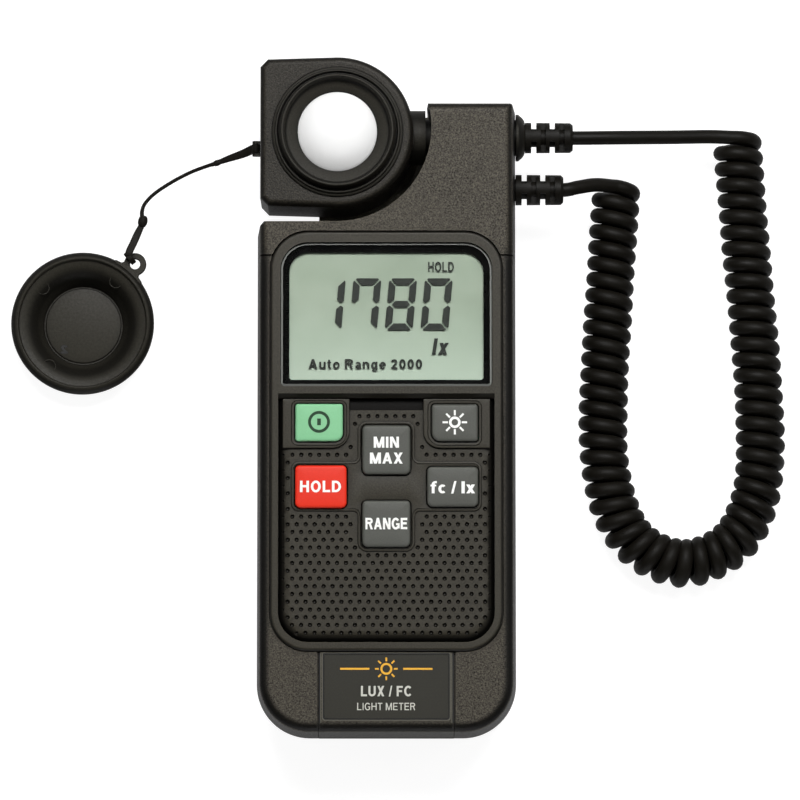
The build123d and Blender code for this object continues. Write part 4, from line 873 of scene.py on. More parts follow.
def glyph(char, t):
    """Advance width and shapes of a plain sans-serif letter one unit high, stroke width t."""
    a = t / 2
    top = 1 - a

    def line(places, weight=1.0, closed=False):
        return stroke(places, t * weight, closed)

    def upright(x, height=1.0, weight=1.0):
        return line([(x, 0), (x, height)], weight)

    def level(y, x_low, x_high, weight=1.0):
        return line([(x_low, y), (x_high, y)], weight)

    def slanted(x_low, x_high, y_low=0.0, y_high=1.0, weight=1.0):
        return bar(x_low, y_low, x_high, y_high, t * weight)

    def bend(x, y, rx, ry, start, end, steps=14):
        return arc(x, y, rx - a, ry - a, start, end, steps)

    def oval(x, y, rx, ry, weight=1.0):
        return line(bend(x, y, rx, ry, 0, 360 * 13 / 14, 13), weight, True)

    forms = {
        " ": (0.16, []),
        "I": (t, [upright(a)]),
        "l": (t, [upright(a)]),
        "L": (0.58, [line([(a, 1), (a, a), (0.58, a)])]),
        "T": (0.62, [level(top, 0, 0.62), upright(0.31, top)]),
        "H": (0.70, [upright(a), upright(0.7 - a), level(0.52, a, 0.7 - a)]),
        "E": (0.62, [line([(0.62, top), (a, top), (a, a), (0.62, a)]), level(0.52, a, 0.57)]),
        "F": (0.58, [line([(0.58, top), (a, top), (a, 0)]), level(0.5, a, 0.52)]),
        "U": (0.70, [line([(a, 1), (a, 0.34)] + bend(0.35, 0.34, 0.35, 0.34, 190, 350)
                          + [(0.7 - a, 0.34), (0.7 - a, 1)])]),
        "M": (0.84, [upright(a), upright(0.84 - a), slanted(0.42, a + 0.03), slanted(0.42, 0.81 - a)]),
        "N": (0.71, [upright(a), upright(0.71 - a), slanted(0.68 - a, a + 0.03)]),
        "A": (0.76, [slanted(a + 0.01, 0.38), slanted(0.75 - a, 0.38), level(0.3, 0.2, 0.56, 0.9)]),
        "X": (0.70, [slanted(0.12, 0.58), slanted(0.58, 0.12)]),
        "x": (0.56, [slanted(0.11, 0.45, 0.0, 0.73, 0.95), slanted(0.45, 0.11, 0.0, 0.73, 0.95)]),
        "/": (0.30, [slanted(0.05, 0.25, -0.02, 1.02, 0.7)]),
        "O": (0.78, [oval(0.39, 0.5, 0.39, 0.52)]),
        "0": (0.56, [oval(0.28, 0.5, 0.28, 0.5, 0.95)]),
        "D": (0.70, [line([(a, a), (0.3, a)] + bend(0.3, 0.5, 0.4, 0.5, -80, 80) + [(0.3, top), (a, top)],
                          closed=True)]),
        "R": (0.70, [upright(a), slanted(0.6, 0.42, 0.0, 0.5),
                     line([(a, top), (0.4, top)] + arc(0.4, 0.73, 0.2, 0.27 - a, 80, -80, 8)
                          + [(0.4, 0.46 + a), (a, 0.46 + a)])]),
        "G": (0.76, [line(bend(0.39, 0.5, 0.39, 0.52, 38, 318) + [(0.66, 0.16)]),
                     line([(0.66, 0.08), (0.66, 0.45)]), level(0.45, 0.42, 0.76, 0.85)]),
        "C": (0.72, [line(bend(0.39, 0.5, 0.39, 0.52, 42, 318))]),
        "c": (0.52, [line(bend(0.29, 0.365, 0.28, 0.38, 48, 312), 0.9)]),
        "f": (0.38, [line([(0.17, 0), (0.17, 0.76)] + arc(0.33, 0.76, 0.16, 0.17, 165, 90, 6)
                          + [(0.4, 0.93)], 0.9), level(0.65, 0, 0.36, 0.7)]),
        "u": (0.56, [line([(a, 0.73), (a, 0.26)] + bend(0.28, 0.26, 0.28, 0.27, 190, 350, 8)
                          + [(0.56 - a, 0.26)], 0.9), upright(0.56 - a, 0.73, 0.9)]),
        "t": (0.34, [line([(0.15, 0.94), (0.15, 0.22)] + arc(0.27, 0.2, 0.12, 0.12, 190, 270, 5)
                          + [(0.34, 0.08)], 0.9), level(0.66, 0, 0.32, 0.7)]),
        "o": (0.58, [oval(0.29, 0.365, 0.29, 0.38, 0.9)]),
        "a": (0.54, [line([(0.54 - a, 0), (0.54 - a, 0.47)] + bend(0.28, 0.47, 0.26, 0.27, 10, 150, 8), 0.85),
                     oval(0.26, 0.21, 0.24, 0.22, 0.8)]),
        "n": (0.56, [upright(a, 0.73, 0.9),
                     line([(a, 0.4)] + bend(0.28, 0.44, 0.28, 0.3, 165, 0, 8) + [(0.56 - a, 0)], 0.9)]),
        "g": (0.56, [oval(0.27, 0.37, 0.26, 0.37, 0.85),
                     line([(0.56 - a, 0.73), (0.56 - a, -0.04)] + bend(0.29, -0.04, 0.27, 0.24, -10, -150, 8),
                          0.85)]),
        "e": (0.56, [line(bend(0.29, 0.365, 0.28, 0.38, 0, 318), 0.85), level(0.37, 0.1, 0.56, 0.6)]),
        "2": (0.56, [line(bend(0.28, 0.7, 0.27, 0.3, 175, -35, 10) + [(a + 0.06, a + 0.05)], 0.95),
                     level(a, 0.02, 0.55)]),
    }
    return forms[char]


def lettering(name, words, height, centre, z, material, body, weight=0.2, slant=0.0, gap=0.14, width=1.0,
              thickness=THIN_SLAB_THICKNESS, flip=1):
    """Thin raised print of plain letters; height is that of a capital, flip -1 mirrors it."""
    letters = [glyph(char, weight) for char in words]
    middle = (sum(wide + gap for wide, _ in letters) - gap) / 2
    points = []
    faces = []
    advance = 0.0

    def place(x, y):
        u = (x + advance - middle + slant * (y - 0.5)) * width * flip
        return (centre[0] + u * height, centre[1] + (y - 0.5) * height)

    for wide, forms in letters:
        if forms:
            outline = [[[place(x, y) for x, y in loop] for loop in form] for form in forms]
            add_skin(points, faces, *flat_slab(outline, z, z + thickness))
        advance += wide + gap
    return mesh_object(name, points, faces, material, body, crease=30)


def flat_slab(forms, z_low, z_high):
    """Thin slab over the union of shapes; each shape is a list of loops, counted even-odd."""
    def covered(middle):
        return any(sum(inside(middle, loop) for loop in form) % 2 for form in forms)

    places, kept = triangulated([loop for form in forms for loop in form], [], covered)
    count = len(places)
    points = [(p.x, p.y, z_high) for p in places] + [(p.x, p.y, z_low) for p in places]
    faces = kept + [tuple(i + count for i in reversed(t)) for t in kept]
    faces += [(b, a, a + count, b + count) for a, b in open_edges(kept)]
    return points, faces


def slab(points, faces, loop, z, thickness):
    """Adds a thin flat slab over one outline."""
    add_skin(points, faces, *loft([[(x, y, z) for x, y in loop], [(x, y, z + thickness) for x, y in loop]]))


def ring_print(name, centre, inner, outer, z, material, body, sides=48):
    """Thin raised print of a ring."""
    rings = []
    for radius, level in ((inner, z), (outer, z), (outer, z + THIN_SLAB_THICKNESS), (inner, z + THIN_SLAB_THICKNESS)):
        rings.append([(centre[0] + u, centre[1] + v, level) for u, v in circle(radius, sides)])
    points, faces = loft(rings + [rings[0]], caps=False)
    return mesh_object(name, points, faces, material, body, crease=30)


def bar_slabs(name, bars, z, material, body):
    """Thin raised slabs of straight bars, each (x, y, length, width, angle), for print and for painted shade and
    highlight lines.
    """
    points = []
    faces = []
    for x, y, length, width, angle in bars:
        c = math.cos(angle)
        s = math.sin(angle)
        half_length = length / 2
        half_width = width / 2
        corners = [(-half_length, -half_width), (half_length, -half_width), (half_length, half_width),
                   (-half_length, half_width)]
        loop = [(x + u * c - v * s, y + u * s + v * c) for u, v in corners]
        slab(points, faces, loop, z, THIN_SLAB_THICKNESS)
    return mesh_object(name, points, faces, material, body, crease=30)


def rays_print(name, centre, reach, length, width, z, material, body):
    """Eight short bars that point away from a centre."""
    bars = []
    for k in range(8):
        angle = k * math.pi / 4
        bars.append((centre[0] + reach * math.cos(angle), centre[1] + reach * math.sin(angle), length, width,
                     angle))
    bar_slabs(name, bars, z, material, body)


def keys():
    """The six keys, each with its sign or word."""
    tops = {node: key_cap(node, material, slot) for node, material, slot in (
        ("key_power", KEY_GREEN, "key_green"), ("key_backlight", KEY_GREY, "key_grey"),
        ("key_min_max", KEY_GREY, "key_grey"), ("key_hold", KEY_RED, "key_red"),
        ("key_units", KEY_GREY, "key_grey"), ("key_range", KEY_GREY, "key_grey"))}

    x, y, z = tops["key_power"]
    sign = (x, y + 0.15)
    ring_print("power_ring", sign, 2.10, 2.85, z, DARK_GREEN_INK, "key_power")
    bar_slabs("power_bar", [(*sign, 1.75, 0.95, math.pi / 2)], z, DARK_GREEN_INK, "key_power")

    x, y, z = tops["key_backlight"]
    sign = (x, y + 0.1)
    ring_print("backlight_ring", sign, 0.85, 1.52, z, WHITE_INK, "key_backlight", sides=32)
    rays_print("backlight_rays", sign, 2.5, 1.4, 0.52, z, WHITE_INK, "key_backlight")

    for name, words, node, (right, up), height, style in (
            ("min", "MIN", "key_min_max", (0.0, 1.95), 2.9, {"gap": 0.12, "width": 1.14}),
            ("max", "MAX", "key_min_max", (0.0, -2.2), 2.9, {"gap": 0.1, "width": 1.18}),
            ("hold", "HOLD", "key_hold", (-0.1, 0.0), 3.0, {"width": 1.12}),
            ("units", "fc / lx", "key_units", (0.0, -0.2), 3.15, {"weight": 0.21, "gap": 0.09, "width": 1.3}),
            ("range", "RANGE", "key_range", (0.0, 0.0), 3.0, {"gap": 0.1, "width": 0.92})):
        x, y, z = tops[node]
        lettering("legend_" + name, words, height, (x + right, y + up), z, WHITE_INK, node, **style)


# ---- Display ------------------------------------------------------------------------------------
DIGIT_HEIGHT, DIGIT_WIDTH, DIGIT_PITCH = 13.7, 7.3, 9.34
STROKE = 1.8
SEGMENT_GAP = 0.32
CORNER_CUT = 0.9
SLANT = math.tan(math.radians(5))
SEGMENTS_OF = {"1": "bc", "7": "abcf", "8": "abcdefg", "0": "abcdef"}
READING = "1780"
READING_RIGHT, READING_LOW = 17.4, 22.7
READING_RISE, READING_THICKNESS = 0.45, 0.05


def digit_segments():
    """Outlines of the seven bars in a box from (0, 0) to (DIGIT_WIDTH, DIGIT_HEIGHT)."""
    w, h, t, s = DIGIT_WIDTH, DIGIT_HEIGHT, STROKE, SEGMENT_GAP
    middle = h / 2
    near = (CORNER_CUT + s) / 2
    far = (CORNER_CUT - s) / 2
    top = [(near, h - far), (CORNER_CUT, h), (w - CORNER_CUT, h), (w - near, h - far), (w - t - s, h - t),
           (t + s, h - t)]
    upper_left = [(far, h - near), (t, h - t - s), (t, middle + t / 2 + s), (t * 0.4, middle + s),
                  (0, middle + t * 0.3 + s), (0, h - CORNER_CUT)]
    centre = [(t * 0.55 + s, middle), (t + s, middle + t / 2), (w - t - s, middle + t / 2),
              (w - t * 0.55 - s, middle), (w - t - s, middle - t / 2), (t + s, middle - t / 2)]

    def mirrored(loop):
        return [(w - x, y) for x, y in loop]

    def lowered(loop):
        return [(x, h - y) for x, y in loop]

    return {"a": top, "d": lowered(top), "g": centre, "f": upper_left, "b": mirrored(upper_left),
            "e": lowered(upper_left), "c": lowered(mirrored(upper_left))}


def display_reading():
    """Dark segments and words that lie just below the window."""
    z = GLASS_TOP + READING_RISE
    shapes = digit_segments()
    points = []
    faces = []
    for place, digit in enumerate(READING):
        left = READING_RIGHT - DIGIT_WIDTH - (len(READING) - 1 - place) * DIGIT_PITCH - SLANT * DIGIT_HEIGHT
        for letter in SEGMENTS_OF[digit]:
            loop = [(left + u + SLANT * v, READING_LOW + v) for u, v in shapes[letter]]
            slab(points, faces, loop, z, READING_THICKNESS)
    mesh_object("display_digits", points, faces, SEGMENT, "meter_body", crease=30)
    for name, words, height, centre, style in (
            ("hold", "HOLD", 2.65, (14.3, 39.4), {"weight": 0.17, "width": 0.8}),
            ("lx", "lx", 4.3, (14.2, 18.4), {"weight": 0.22, "slant": 0.16}),
            ("range", "Auto Range 2000", 2.6, (-5.5, 13.8), {"weight": 0.19, "gap": 0.13, "width": 1.2})):
        lettering("display_" + name, words, height, centre, z, SEGMENT, "meter_body", **style)


# ---- Sensor head --------------------------------------------------------------------------------
DOME_FOOT = 31.3
DOME_BASE = 10.4              # radius at the foot
COLLAR_FLOOR = 31.5           # the collar's dish round the dome
COLLAR_SEAT = 27.3            # its underside


def opal_dome():
    """Shallow dome: part of a ball over a short straight foot."""
    rise = DOME_TOP - DOME_FOOT
    ball = (DOME_BASE ** 2 + rise ** 2) / (2 * rise)
    profile = [(0.0, DOME_FOOT - 2.0), (DOME_BASE, DOME_FOOT - 2.0), (DOME_BASE, DOME_FOOT)]
    start = math.asin(DOME_BASE / ball)
    steps = 24
    for step in range(1, steps + 1):
        angle = start * (1 - step / steps)
        profile.append((ball * math.sin(angle), DOME_TOP - ball + ball * math.cos(angle)))
    dome = lathe("opal_dome", profile, (HEAD_X, HEAD_Y), DOME, "sensor_head")
    stands_for(dome, "dome_white", "diffuser_dome")


def collar_ring():
    """Stepped collar round the dome: dish, rounded rim, groove and low outer bead."""
    outer = (COLLAR_HIGH.x - COLLAR_LOW.x) / 2
    face = box_mm("head_front_shell")[1].z
    rim = COLLAR_HIGH.z
    floor = COLLAR_FLOOR
    bore = DOME_BASE + 0.15
    dish = [(bore, floor - 1.5), (bore, floor - 0.15), (bore + 0.15, floor), (13.2, floor + 0.05),
            (13.7, floor + 0.35), (13.9, floor + 1.0)]
    lip = [(14.0, rim - 0.45), (14.12, rim - 0.15), (14.35, rim), (14.6, rim), (14.85, rim - 0.12),
           (15.0, rim - 0.4), (15.25, rim - 1.3), (15.3, rim - 1.9)]
    bead = [(15.4, face + 0.85), (15.55, face + 0.8), (15.7, face + 0.95), (15.8, face + 1.25),
            (15.95, face + 1.4), (16.25, face + 1.4), (16.45, face + 1.25), (16.55, face + 0.85),
            (16.65, face + 0.7), (16.9, face + 0.68), (outer, face + 0.45), (outer, face - 0.35)]
    seat = [(15.0, face - 0.35), (15.0, COLLAR_SEAT), (12.7, COLLAR_SEAT), (12.7, floor - 1.5)]
    collar = lathe("sensor_collar_ring", dish + lip + bead + seat, (HEAD_X, HEAD_Y), COLLAR, "sensor_head",
                   crease=50)
    stands_for(collar, "collar_dark", "sensor_collar")


# ---- Cable --------------------------------------------------------------------------------------
WIRE_RADIUS = 1.85            # straight leads
COIL_WIRE_RADIUS = 2.03       # the coiled part is slightly fuller
TURN_RADIUS = 4.65            # from the coil's centre line to the cord's
TURN_PITCH = 4.25
POINTS_PER_TURN = 30
REST_HEIGHT = WIRE_RADIUS + TURN_RADIUS + 0.1
PLUG_DEPTH = 0.6              # how far the cord runs into each sleeve
COIL_AXIS = [(93.4, 76.7), (95.6, 48.0), (98.4, 15.0), (99.1, -8.0), (97.0, -21.5), (91.0, -31.5),
             (79.5, -36.4), (68.5, -33.0), (61.6, -24.5), (57.9, -10.0), (57.6, 8.0), (59.4, 38.0),
             (61.2, 63.6)]


def coil_turns():
    """Centre line of the coiled part: close left-handed turns that lie on the table."""
    spine = smooth_path([(x, y, REST_HEIGHT) for x, y in COIL_AXIS], 1200)
    length = sum((b - a).length for a, b in zip(spine, spine[1:]))
    spine = resample(spine, round(length / TURN_PITCH) * POINTS_PER_TURN)
    up = Vector((0, 0, 1))
    coil = []
    for i, point in enumerate(spine):
        ahead = (spine[min(i + 1, len(spine) - 1)] - spine[max(i - 1, 0)]).normalized()
        right = up.cross(ahead)
        angle = 2 * math.pi * i / POINTS_PER_TURN
        wobble = 1 + 0.012 * math.sin(i * 0.037) + 0.008 * math.sin(i * 0.011 + 1)
        coil.append(point + (up * math.cos(angle) + right * math.sin(angle)) * (TURN_RADIUS * wobble))
    return coil


def smoothed(values, rounds):
    """The values with each inner one drawn towards its neighbours, several times over."""
    for _ in range(rounds):
        inner = [(a + 2 * b + c) / 4 for a, b, c in zip(values, values[1:], values[2:])]
        values = [values[0]] + inner + [values[-1]]
    return values


def coiled_cord():
    """Cord from the neck's sleeve through the coil to the sleeve on the body's side."""
    coil = coil_turns()
    upper_start = box_mm("upper_strain_relief")[0].x + PLUG_DEPTH
    low, high = box_mm("lower_strain_relief")
    lower_y = (low.y + high.y) / 2
    lead_in = smooth_path([(upper_start, AXIS.y, AXIS.z), (50.0, AXIS.y, AXIS.z),
                           (62.0, AXIS.y + 0.3, AXIS.z - 1.2), (76.0, AXIS.y + 0.9, AXIS.z - 4.6),
                           (86.0, AXIS.y + 1.4, AXIS.z - 7.0), coil[0]], 160)
    lead_out = smooth_path([coil[-1], (55.5, lower_y + 2.0, AXIS.z - 4.2),
                            (50.5, lower_y + 0.9, AXIS.z - 1.3), (46.0, lower_y, AXIS.z),
                            (low.x + PLUG_DEPTH, lower_y, AXIS.z)], 110)
    radii = [WIRE_RADIUS] * (len(lead_in) - 1) + [COIL_WIRE_RADIUS] * len(coil)
    radii += [WIRE_RADIUS] * (len(lead_out) - 1)
    path = smoothed(lead_in[:-1] + coil + lead_out[1:], 3)
    radii = smoothed(radii, 20)
    points, faces = loft(swept(path, lambda i: circle(radii[i], 16)))
    cord = mesh_object("coiled_cord", points, faces, CABLE, "meter_body", crease=70)
    stands_for(cord, "cable_rubber", "coiled_cable")


def soft_edges(piece, width):
    """Rounds the piece's hard edges."""
    bevel = piece.modifiers.new("soft_edges", "BEVEL")
    bevel.width = width * MM
    bevel.segments = 2
    return bevel


def boss_and_reliefs():
    """Rounded boss over the shaft's end, and softened edges on the two slotted sleeves."""
    low, high = box_mm("shaft_end_boss")
    radius = (high.y - low.y) / 2
    profile = [(1.95, high.x), (3.6, high.x), (4.4, high.x - 0.15), (5.0, high.x - 0.5),
               (5.5, high.x - 0.95), (5.85, high.x - 1.4), (radius - 0.05, low.x + 0.75),
               (radius, low.x + 0.6), (radius, low.x + 0.1), (radius - 0.1, low.x), (4.85, low.x),
               (4.85, low.x + 1.5), (1.95, low.x + 1.6)]
    boss = lathe("swivel_boss", profile, (AXIS.y, AXIS.z), COLLAR, "sensor_head", segments=96, along_x=True)
    stands_for(boss, "collar_dark", "shaft_end_boss")
    for node in ("upper_strain_relief", "lower_strain_relief"):
        soft_edges(NODES[node], 0.22).angle_limit = math.radians(40)


# ---- Dome cap and lanyard -----------------------------------------------------------------------
CAP_TOP = CAP_HIGH.z
CAP_DISC = 9.95
CAP_FLOOR = 6.7               # how far the disc lies below the rim
TAB_LOW, TAB_HIGH = 2.0, 0.7  # the tab's faces, below the rim
TAB_EYE = 1.35
CORD_STEPS = 90
HEAD_CRIMP = Vector((-45.0, 69.8, 12.5))
CAP_CRIMP = Vector((-64.9, 54.8, 7.6))


def strip(width, thickness, round_off=0.3):
    """Section of a flat strap with rounded edges."""
    radius = min(round_off, thickness * 0.49)
    places = rectangle(-width / 2, width / 2, -thickness / 2, thickness / 2, (radius,) * 4)
    return rounded_loop(places, steps=3)


def cap_bowl():
    """Cap lying open side up: outer wall, rounded rim, flared inside and flat disc."""
    top = CAP_TOP
    outside = [(0.0, 0.0), (11.2, 0.0), (12.0, 0.3), (12.6, 1.2), (13.6, 4.2), (15.0, 5.6), (17.2, 6.5),
               (18.5, 6.3), (18.9, 6.4), (CAP_RIM, 6.7), (CAP_RIM, top - 1.5)]
    rim = [(18.75, top - 1.0), (18.2, top - 0.45), (17.7, top - 0.12), (17.35, top), (17.1, top - 0.1),
           (16.9, top - 0.5), (16.75, top - 1.0)]
    flare = [(15.6, top - 1.25), (14.2, top - 1.9), (12.8, top - 3.1), (11.6, top - 4.8), (10.75, top - 6.4),
             (10.5, top - 6.95), (10.4, top - 7.0)]
    disc = [(CAP_DISC + 0.15, top - 6.95), (CAP_DISC, top - 6.75), (CAP_DISC - 0.2, top - CAP_FLOOR),
            (0.0, top - CAP_FLOOR)]
    bowl = lathe("cap_bowl", outside + rim + flare + disc, CAP_CENTRE, CAP_PLASTIC, "sensor_cap",
                 segments=160, crease=40)
    stands_for(bowl, "cap_plastic", "sensor_cap")


def cap_tab():
    """Tab with an eye for the lanyard's loop, on the side of the cap that faces the eye."""
    x, y = CAP_CENTRE
    toward = math.atan2(EYE.y - y, EYE.x - x)
    reach = math.hypot(EYE.y - y, EYE.x - x)
    c = math.cos(toward)
    s = math.sin(toward)
    end = []
    for step in range(25):
        angle = math.radians(-118 + 236 * step / 24)
        end.append((reach + 3.0 * math.cos(angle), 3.0 * math.sin(angle)))
    root = [(17.9, 4.9), (17.9, -4.9), (18.6, -4.6), (reach - 2.0, -2.95)]
    outline = root + end + [(reach - 2.0, 2.95), (18.6, 4.6)]
    eye = [(reach + u, v) for u, v in circle(TAB_EYE, 28)]

    def turned(loop):
        return [(x + u * c - v * s, y + u * s + v * c) for u, v in loop]

    points, faces = flat_slab([[turned(outline), turned(eye)]], CAP_TOP - TAB_LOW, CAP_TOP - TAB_HIGH)
    tab = mesh_object("cap_tab", points, faces, CAP_PLASTIC, "sensor_cap", crease=40)
    soft_edges(tab, 0.2)
    stands_for(tab, "cap_plastic", "sensor_cap")


def cap_marks():
    """Mirrored mould number on the disc and three ejector marks on the flare."""
    x, y = CAP_CENTRE
    lettering("cap_mould_mark", "2", 2.3, (x - 5.1, y - 6.3), CAP_TOP - CAP_FLOOR, SHADE_AND_MARK_BLACK, "sensor_cap",
              weight=0.24, thickness=0.12, flip=-1, width=1.5)
    for number, degrees in enumerate((52, 138, 232)):
        angle = math.radians(degrees)
        place = (x + 14.3 * math.cos(angle), y + 14.3 * math.sin(angle))
        ring_print("cap_ejector_" + str(number), place, 1.6, 1.72, CAP_TOP - 1.86, CAP_PLASTIC,
                   "sensor_cap", sides=28)


def lanyard_piece(name, path, section, node, slot="lanyard_nylon", crease=60):
    """Part of the lanyard: a section swept along a path."""
    points, faces = loft(swept(path, section))
    piece = mesh_object(name, points, faces, NYLON, "lanyard", crease=crease)
    stands_for(piece, slot, node)


def strap_ring(name, centre, radius, away, section, node):
    """Closed ring of strap about a level axis; `away` is level and square to that axis."""
    up = Vector((0, 0, 1))
    across = up.cross(away)
    rings = []
    for angle in (2 * math.pi * k / 32 for k in range(32)):
        outward = away * math.cos(angle) + up * math.sin(angle)
        point = centre + outward * radius
        rings.append([point + outward * v + across * u for u, v in section])
    points, faces = loft(rings + [rings[0]], caps=False)
    stands_for(mesh_object(name, points, faces, NYLON, "lanyard", crease=60), "lanyard_nylon", node)


def knot(name, place, ahead, length, girth):
    """Thickened bead, fullest in the middle."""
    steps = 16
    ahead.normalize()
    path = [place + ahead * (length * (k / steps - 0.5)) for k in range(steps + 1)]

    def section(i):
        return circle(girth * (0.55 + 0.45 * math.sin(math.pi * i / steps) ** 0.6), 20)

    lanyard_piece(name, path, section, "lanyard_crimps", slot="cap_plastic", crease=70)


def lanyard():
    """Flat strap from the head, thin cord, and flat strap to the loop in the cap's eye."""
    steps = 40
    strap = smooth_path([(BAR.x - 0.75, BAR.y, BAR.z - 0.2), (-38.0, 71.9, 15.2), (-41.8, 70.8, 13.7),
                         HEAD_CRIMP, (-46.4, 69.3, 12.2)], steps)
    lanyard_piece("head_strap", strap,
                  lambda i: strip(2.35 - 1.35 * (i / steps) ** 1.6, 1.0 - 0.25 * i / steps),
                  "lanyard_head_loop")
    strap_ring("head_eyelet", BAR, 0.93, Vector((1, 0, 0)), strip(2.3, 0.4, 0.12), "lanyard_head_loop")

    cord = smooth_path([HEAD_CRIMP + Vector((0.6, 0.2, 0.1)), (-48.5, 68.9, 10.9), (-52.6, 67.5, 9.4),
                        (-57.4, 65.1, 8.3), (-61.8, 62.2, 7.8), (-64.3, 59.6, 7.6), (-65.1, 57.4, 7.6),
                        CAP_CRIMP + Vector((-0.1, 0.4, 0))], CORD_STEPS)

    def cord_section(i):
        swell = 0.14 * math.exp(-(i / 7.0) ** 2) + 0.10 * math.exp(-((CORD_STEPS - i) / 8.0) ** 2)
        return circle(0.5 + swell, 14)

    lanyard_piece("thin_cord", cord, cord_section, "lanyard_cord", crease=70)
    knot("head_crimp", HEAD_CRIMP, Vector((-0.94, -0.31, -0.2)), 2.2, 0.82)
    knot("cap_knot", CAP_CRIMP, Vector((-0.20, -0.98, 0.0)), 3.0, 1.28)

    offset = Vector((-1.38, 1.68, 0.0))
    tail = smooth_path([CAP_CRIMP + Vector((0.0, -0.6, 0)), (-65.9, 52.2, 7.9), (-67.3, 48.9, 8.6),
                        (-68.3, 46.6, 9.3), EYE + offset + Vector((-0.2, 0.5, 1.75))], 30)
    lanyard_piece("cap_strap", tail, lambda i: strip(1.5 + 0.5 * math.sin(math.pi * min(i / 14, 1) / 2), 0.7),
                  "lanyard_cap_loop")
    strap_ring("cap_eyelet", EYE + offset, 1.68, offset.normalized(), strip(1.4, 0.42, 0.15),
               "lanyard_cap_loop")


# ---- Labels -------------------------------------------------------------------------------------
SIDES = (("left", -1), ("right", 1))


def label_print():
    """Plain words on the end piece's label, below a lamp sign between two rules."""
    z = LABEL_HIGH.z - 0.005
    middle = (LABEL_LOW.y + LABEL_HIGH.y) / 2
    sign = (0.0, middle + 4.6)
    ring_print("label_sign_ring", sign, 1.0, 1.55, z, AMBER_INK, "battery_end_cap", sides=36)
    rays_print("label_sign_rays", sign, 2.45, 1.0, 0.42, z, AMBER_INK, "battery_end_cap")
    for name, side in SIDES:
        bar_slabs("label_rule_" + name, [(side * 8.2, sign[1], 7.6, 0.5, 0.0)], z, AMBER_INK,
                  "battery_end_cap")
    lettering("label_units", "LUX / FC", 2.7, (0.0, middle - 1.2), z, LABEL_INK, "battery_end_cap",
              weight=0.19)
    lettering("label_words", "LIGHT METER", 1.9, (0.0, middle - 5.2), z, LABEL_INK, "battery_end_cap",
              weight=0.13, gap=0.16)


def label_border():
    """A dark line of painted shade and a light line of painted highlight round the label, on the face of the end
    piece.
    """
    for name, material, inner, outer in (("dark", SHADE_AND_MARK_BLACK, 0.05, 0.4), ("light", EDGE_HIGHLIGHT_GREY, 0.4, 0.62)):
        loops = []
        for grow in (inner, outer):
            high_y = min(LABEL_HIGH.y + grow, END_PIECE_Y - 0.1)
            loops.append(rounded_loop(rectangle(LABEL_LOW.x - grow, LABEL_HIGH.x + grow, LABEL_LOW.y - grow,
                                                high_y, (0.8, 0.8, 0.3, 0.3))))
        points, faces = flat_slab([loops], END_PIECE_FACE, END_PIECE_FACE + 0.04)
        mesh_object("label_border_" + name, points, faces, material, "battery_end_cap", crease=30)


def seam_lines():
    """Painted shadow on the floor of the groove and a painted highlight on its lip, along each side of the end
    piece.
    """
    length = END_PIECE_Y - BODY_LOW.y - 3.4
    y = BODY_LOW.y + 3.2 + length / 2
    for name, side in SIDES:
        for kind, inset, width, z, material in (
                ("shadow", 0.21, 0.36, END_PIECE_FACE - SEAM_DEPTH, SHADE_AND_MARK_BLACK),
                ("lip", 0.58, 0.22, END_PIECE_FACE, EDGE_HIGHLIGHT_GREY)):
            line = (side * (END_PIECE_X - inset), y, length, width, math.pi / 2)
            bar_slabs("seam_" + kind + "_" + name, [line], z, material, "battery_end_cap")


def rear_label_rules():
    """Ruled lines in place of text on the rear label, which nothing shows."""
    rules = [(0.0, REAR_LABEL_LOW.y + 5.0 + 4.2 * k, 34.0 - 6.0 * (k % 2), 0.45, 0.0) for k in range(5)]
    bar_slabs("rear_label_rules", rules, REAR_LABEL_LOW.z - 0.03, LABEL_INK, "meter_body")


# ---- Floor, light and camera --------------------------------------------------------------------
FLOOR_GLOW = 0.92             # strength of that glow; reflections see half of it
FLOOR_REACH = 3.0             # metres, like the places of the lamps
FLOOR_GAP = 0.0001            # metres below the object


def stage():
    """Grey paper floor that glows near white for the camera."""
    n = Nodes("floor_paper")
    paper = n.noise(40.0)
    n.shade(colour=n.mix(paper, (0.26, 0.26, 0.26, 1.0), (0.28, 0.28, 0.28, 1.0)), roughness=0.9,
            specular=0.0)
    rays = n.add("ShaderNodeLightPath")
    mirrored = n.times(rays.outputs["Is Glossy Ray"], 0.5)
    seen = n.math("ADD", rays.outputs["Is Camera Ray"], mirrored)
    n.shader.inputs["Emission Color"].default_value = (1, 1, 1, 1)
    n.feed(n.shader.inputs["Emission Strength"], n.times(seen, FLOOR_GLOW))
    mesh = bpy.data.meshes.new("floor")
    corners = rectangle(-FLOOR_REACH, FLOOR_REACH, -FLOOR_REACH, FLOOR_REACH, (0.0,) * 4)
    mesh.from_pydata([(x, y, -FLOOR_GAP) for x, y, _ in corners], [], [(0, 1, 2, 3)])
    mesh.materials.append(n.material)
    floor = bpy.data.objects.new("floor", mesh)
    bpy.context.scene.collection.objects.link(floor)


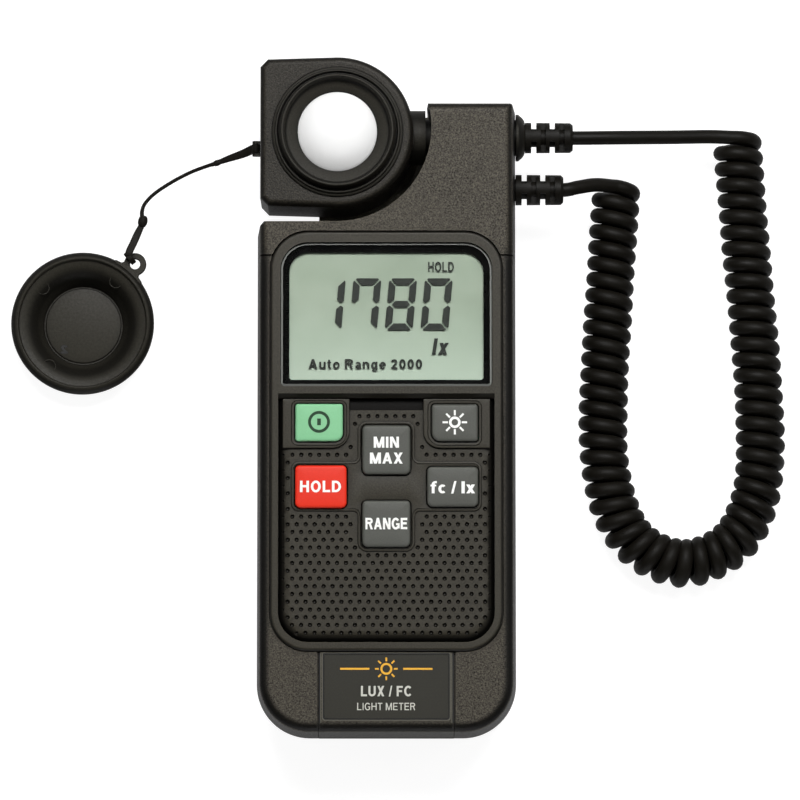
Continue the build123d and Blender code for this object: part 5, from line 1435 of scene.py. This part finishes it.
def sky():
    """Dim room, brightest high up on the far side and darker again straight overhead."""
    world = bpy.data.worlds.new("room")
    bpy.context.scene.world = world
    world.use_nodes = True
    nodes = world.node_tree.nodes
    link = world.node_tree.links.new
    where = nodes.new("ShaderNodeTexCoord")
    split = nodes.new("ShaderNodeSeparateXYZ")
    link(where.outputs["Generated"], split.inputs[0])
    height = nodes.new("ShaderNodeValToRGB")
    link(split.outputs["Z"], height.inputs[0])
    stops = height.color_ramp.elements
    stops.new(0.75)
    for stop, position, grey in zip(stops, (0.0, 0.75, 1.0), (0.06, 0.34, 0.20)):
        stop.position = position
        stop.color = (grey, grey, grey, 1)
    side = nodes.new("ShaderNodeMapRange")
    link(split.outputs["Y"], side.inputs["Value"])
    for socket, value in (("From Min", -0.7), ("From Max", 0.4), ("To Min", 0.10), ("To Max", 0.44)):
        side.inputs[socket].default_value = value
    background = nodes["Background"]
    link(height.outputs[0], background.inputs["Color"])
    link(side.outputs["Result"], background.inputs["Strength"])


def lamp(name, place, target, size, power):
    """Rectangular soft lamp at a place, turned towards a target."""
    data = bpy.data.lights.new(name, "AREA")
    data.shape = "RECTANGLE"
    data.size, data.size_y = size
    data.energy = power
    light = bpy.data.objects.new(name, data)
    bpy.context.scene.collection.objects.link(light)
    aim(light, place, target)


def aim(holder, place, target):
    """Puts a lamp or camera at a place, looking at a target."""
    holder.location = place
    holder.rotation_euler = (Vector(target) - Vector(place)).to_track_quat("-Z", "Y").to_euler()


def lamps():
    """Large lamp behind and above, one on each side, and a low card in front."""
    middle = (0, 0, 0)
    lamp("top_softbox", (0.10, 0.66, 1.24), middle, (1.0, 0.45), 24)
    lamp("left_softbox", (-1.2, 0.3, 1.0), middle, (0.5, 0.9), 1.6)
    lamp("right_softbox", (1.2, 0.3, 1.0), middle, (0.5, 0.9), 2.4)
    lamp("near_card", (0, -0.60, 0.07), (0, -0.07, 0.01), (0.5, 0.06), 1.0)


def camera():
    """Long lens, nearly straight down, tilted slightly so that the lower ends show."""
    elevation = math.radians(84)
    distance = 1.7
    target = Vector((3.56, 7.8, 0.0)) * MM
    data = bpy.data.cameras.new("camera")
    data.sensor_width = 36.0
    data.lens = 287.0
    data.clip_start, data.clip_end = 0.1, 20.0
    holder = bpy.data.objects.new("camera", data)
    bpy.context.scene.collection.objects.link(holder)
    aim(holder, target + Vector((0, -math.cos(elevation), math.sin(elevation))) * distance, target)
    bpy.context.scene.camera = holder


# ---- Build --------------------------------------------------------------------------------------
dress_cad_nodes()
keypad_plate()
keypad_raised_fields()
keys()
display_reading()
opal_dome()
collar_ring()
coiled_cord()
boss_and_reliefs()
cap_bowl()
cap_tab()
cap_marks()
lanyard()
label_print()
label_border()
seam_lines()
rear_label_rules()
stage()
sky()
lamps()
camera()
bpy.context.scene.view_settings.view_transform = "Standard"
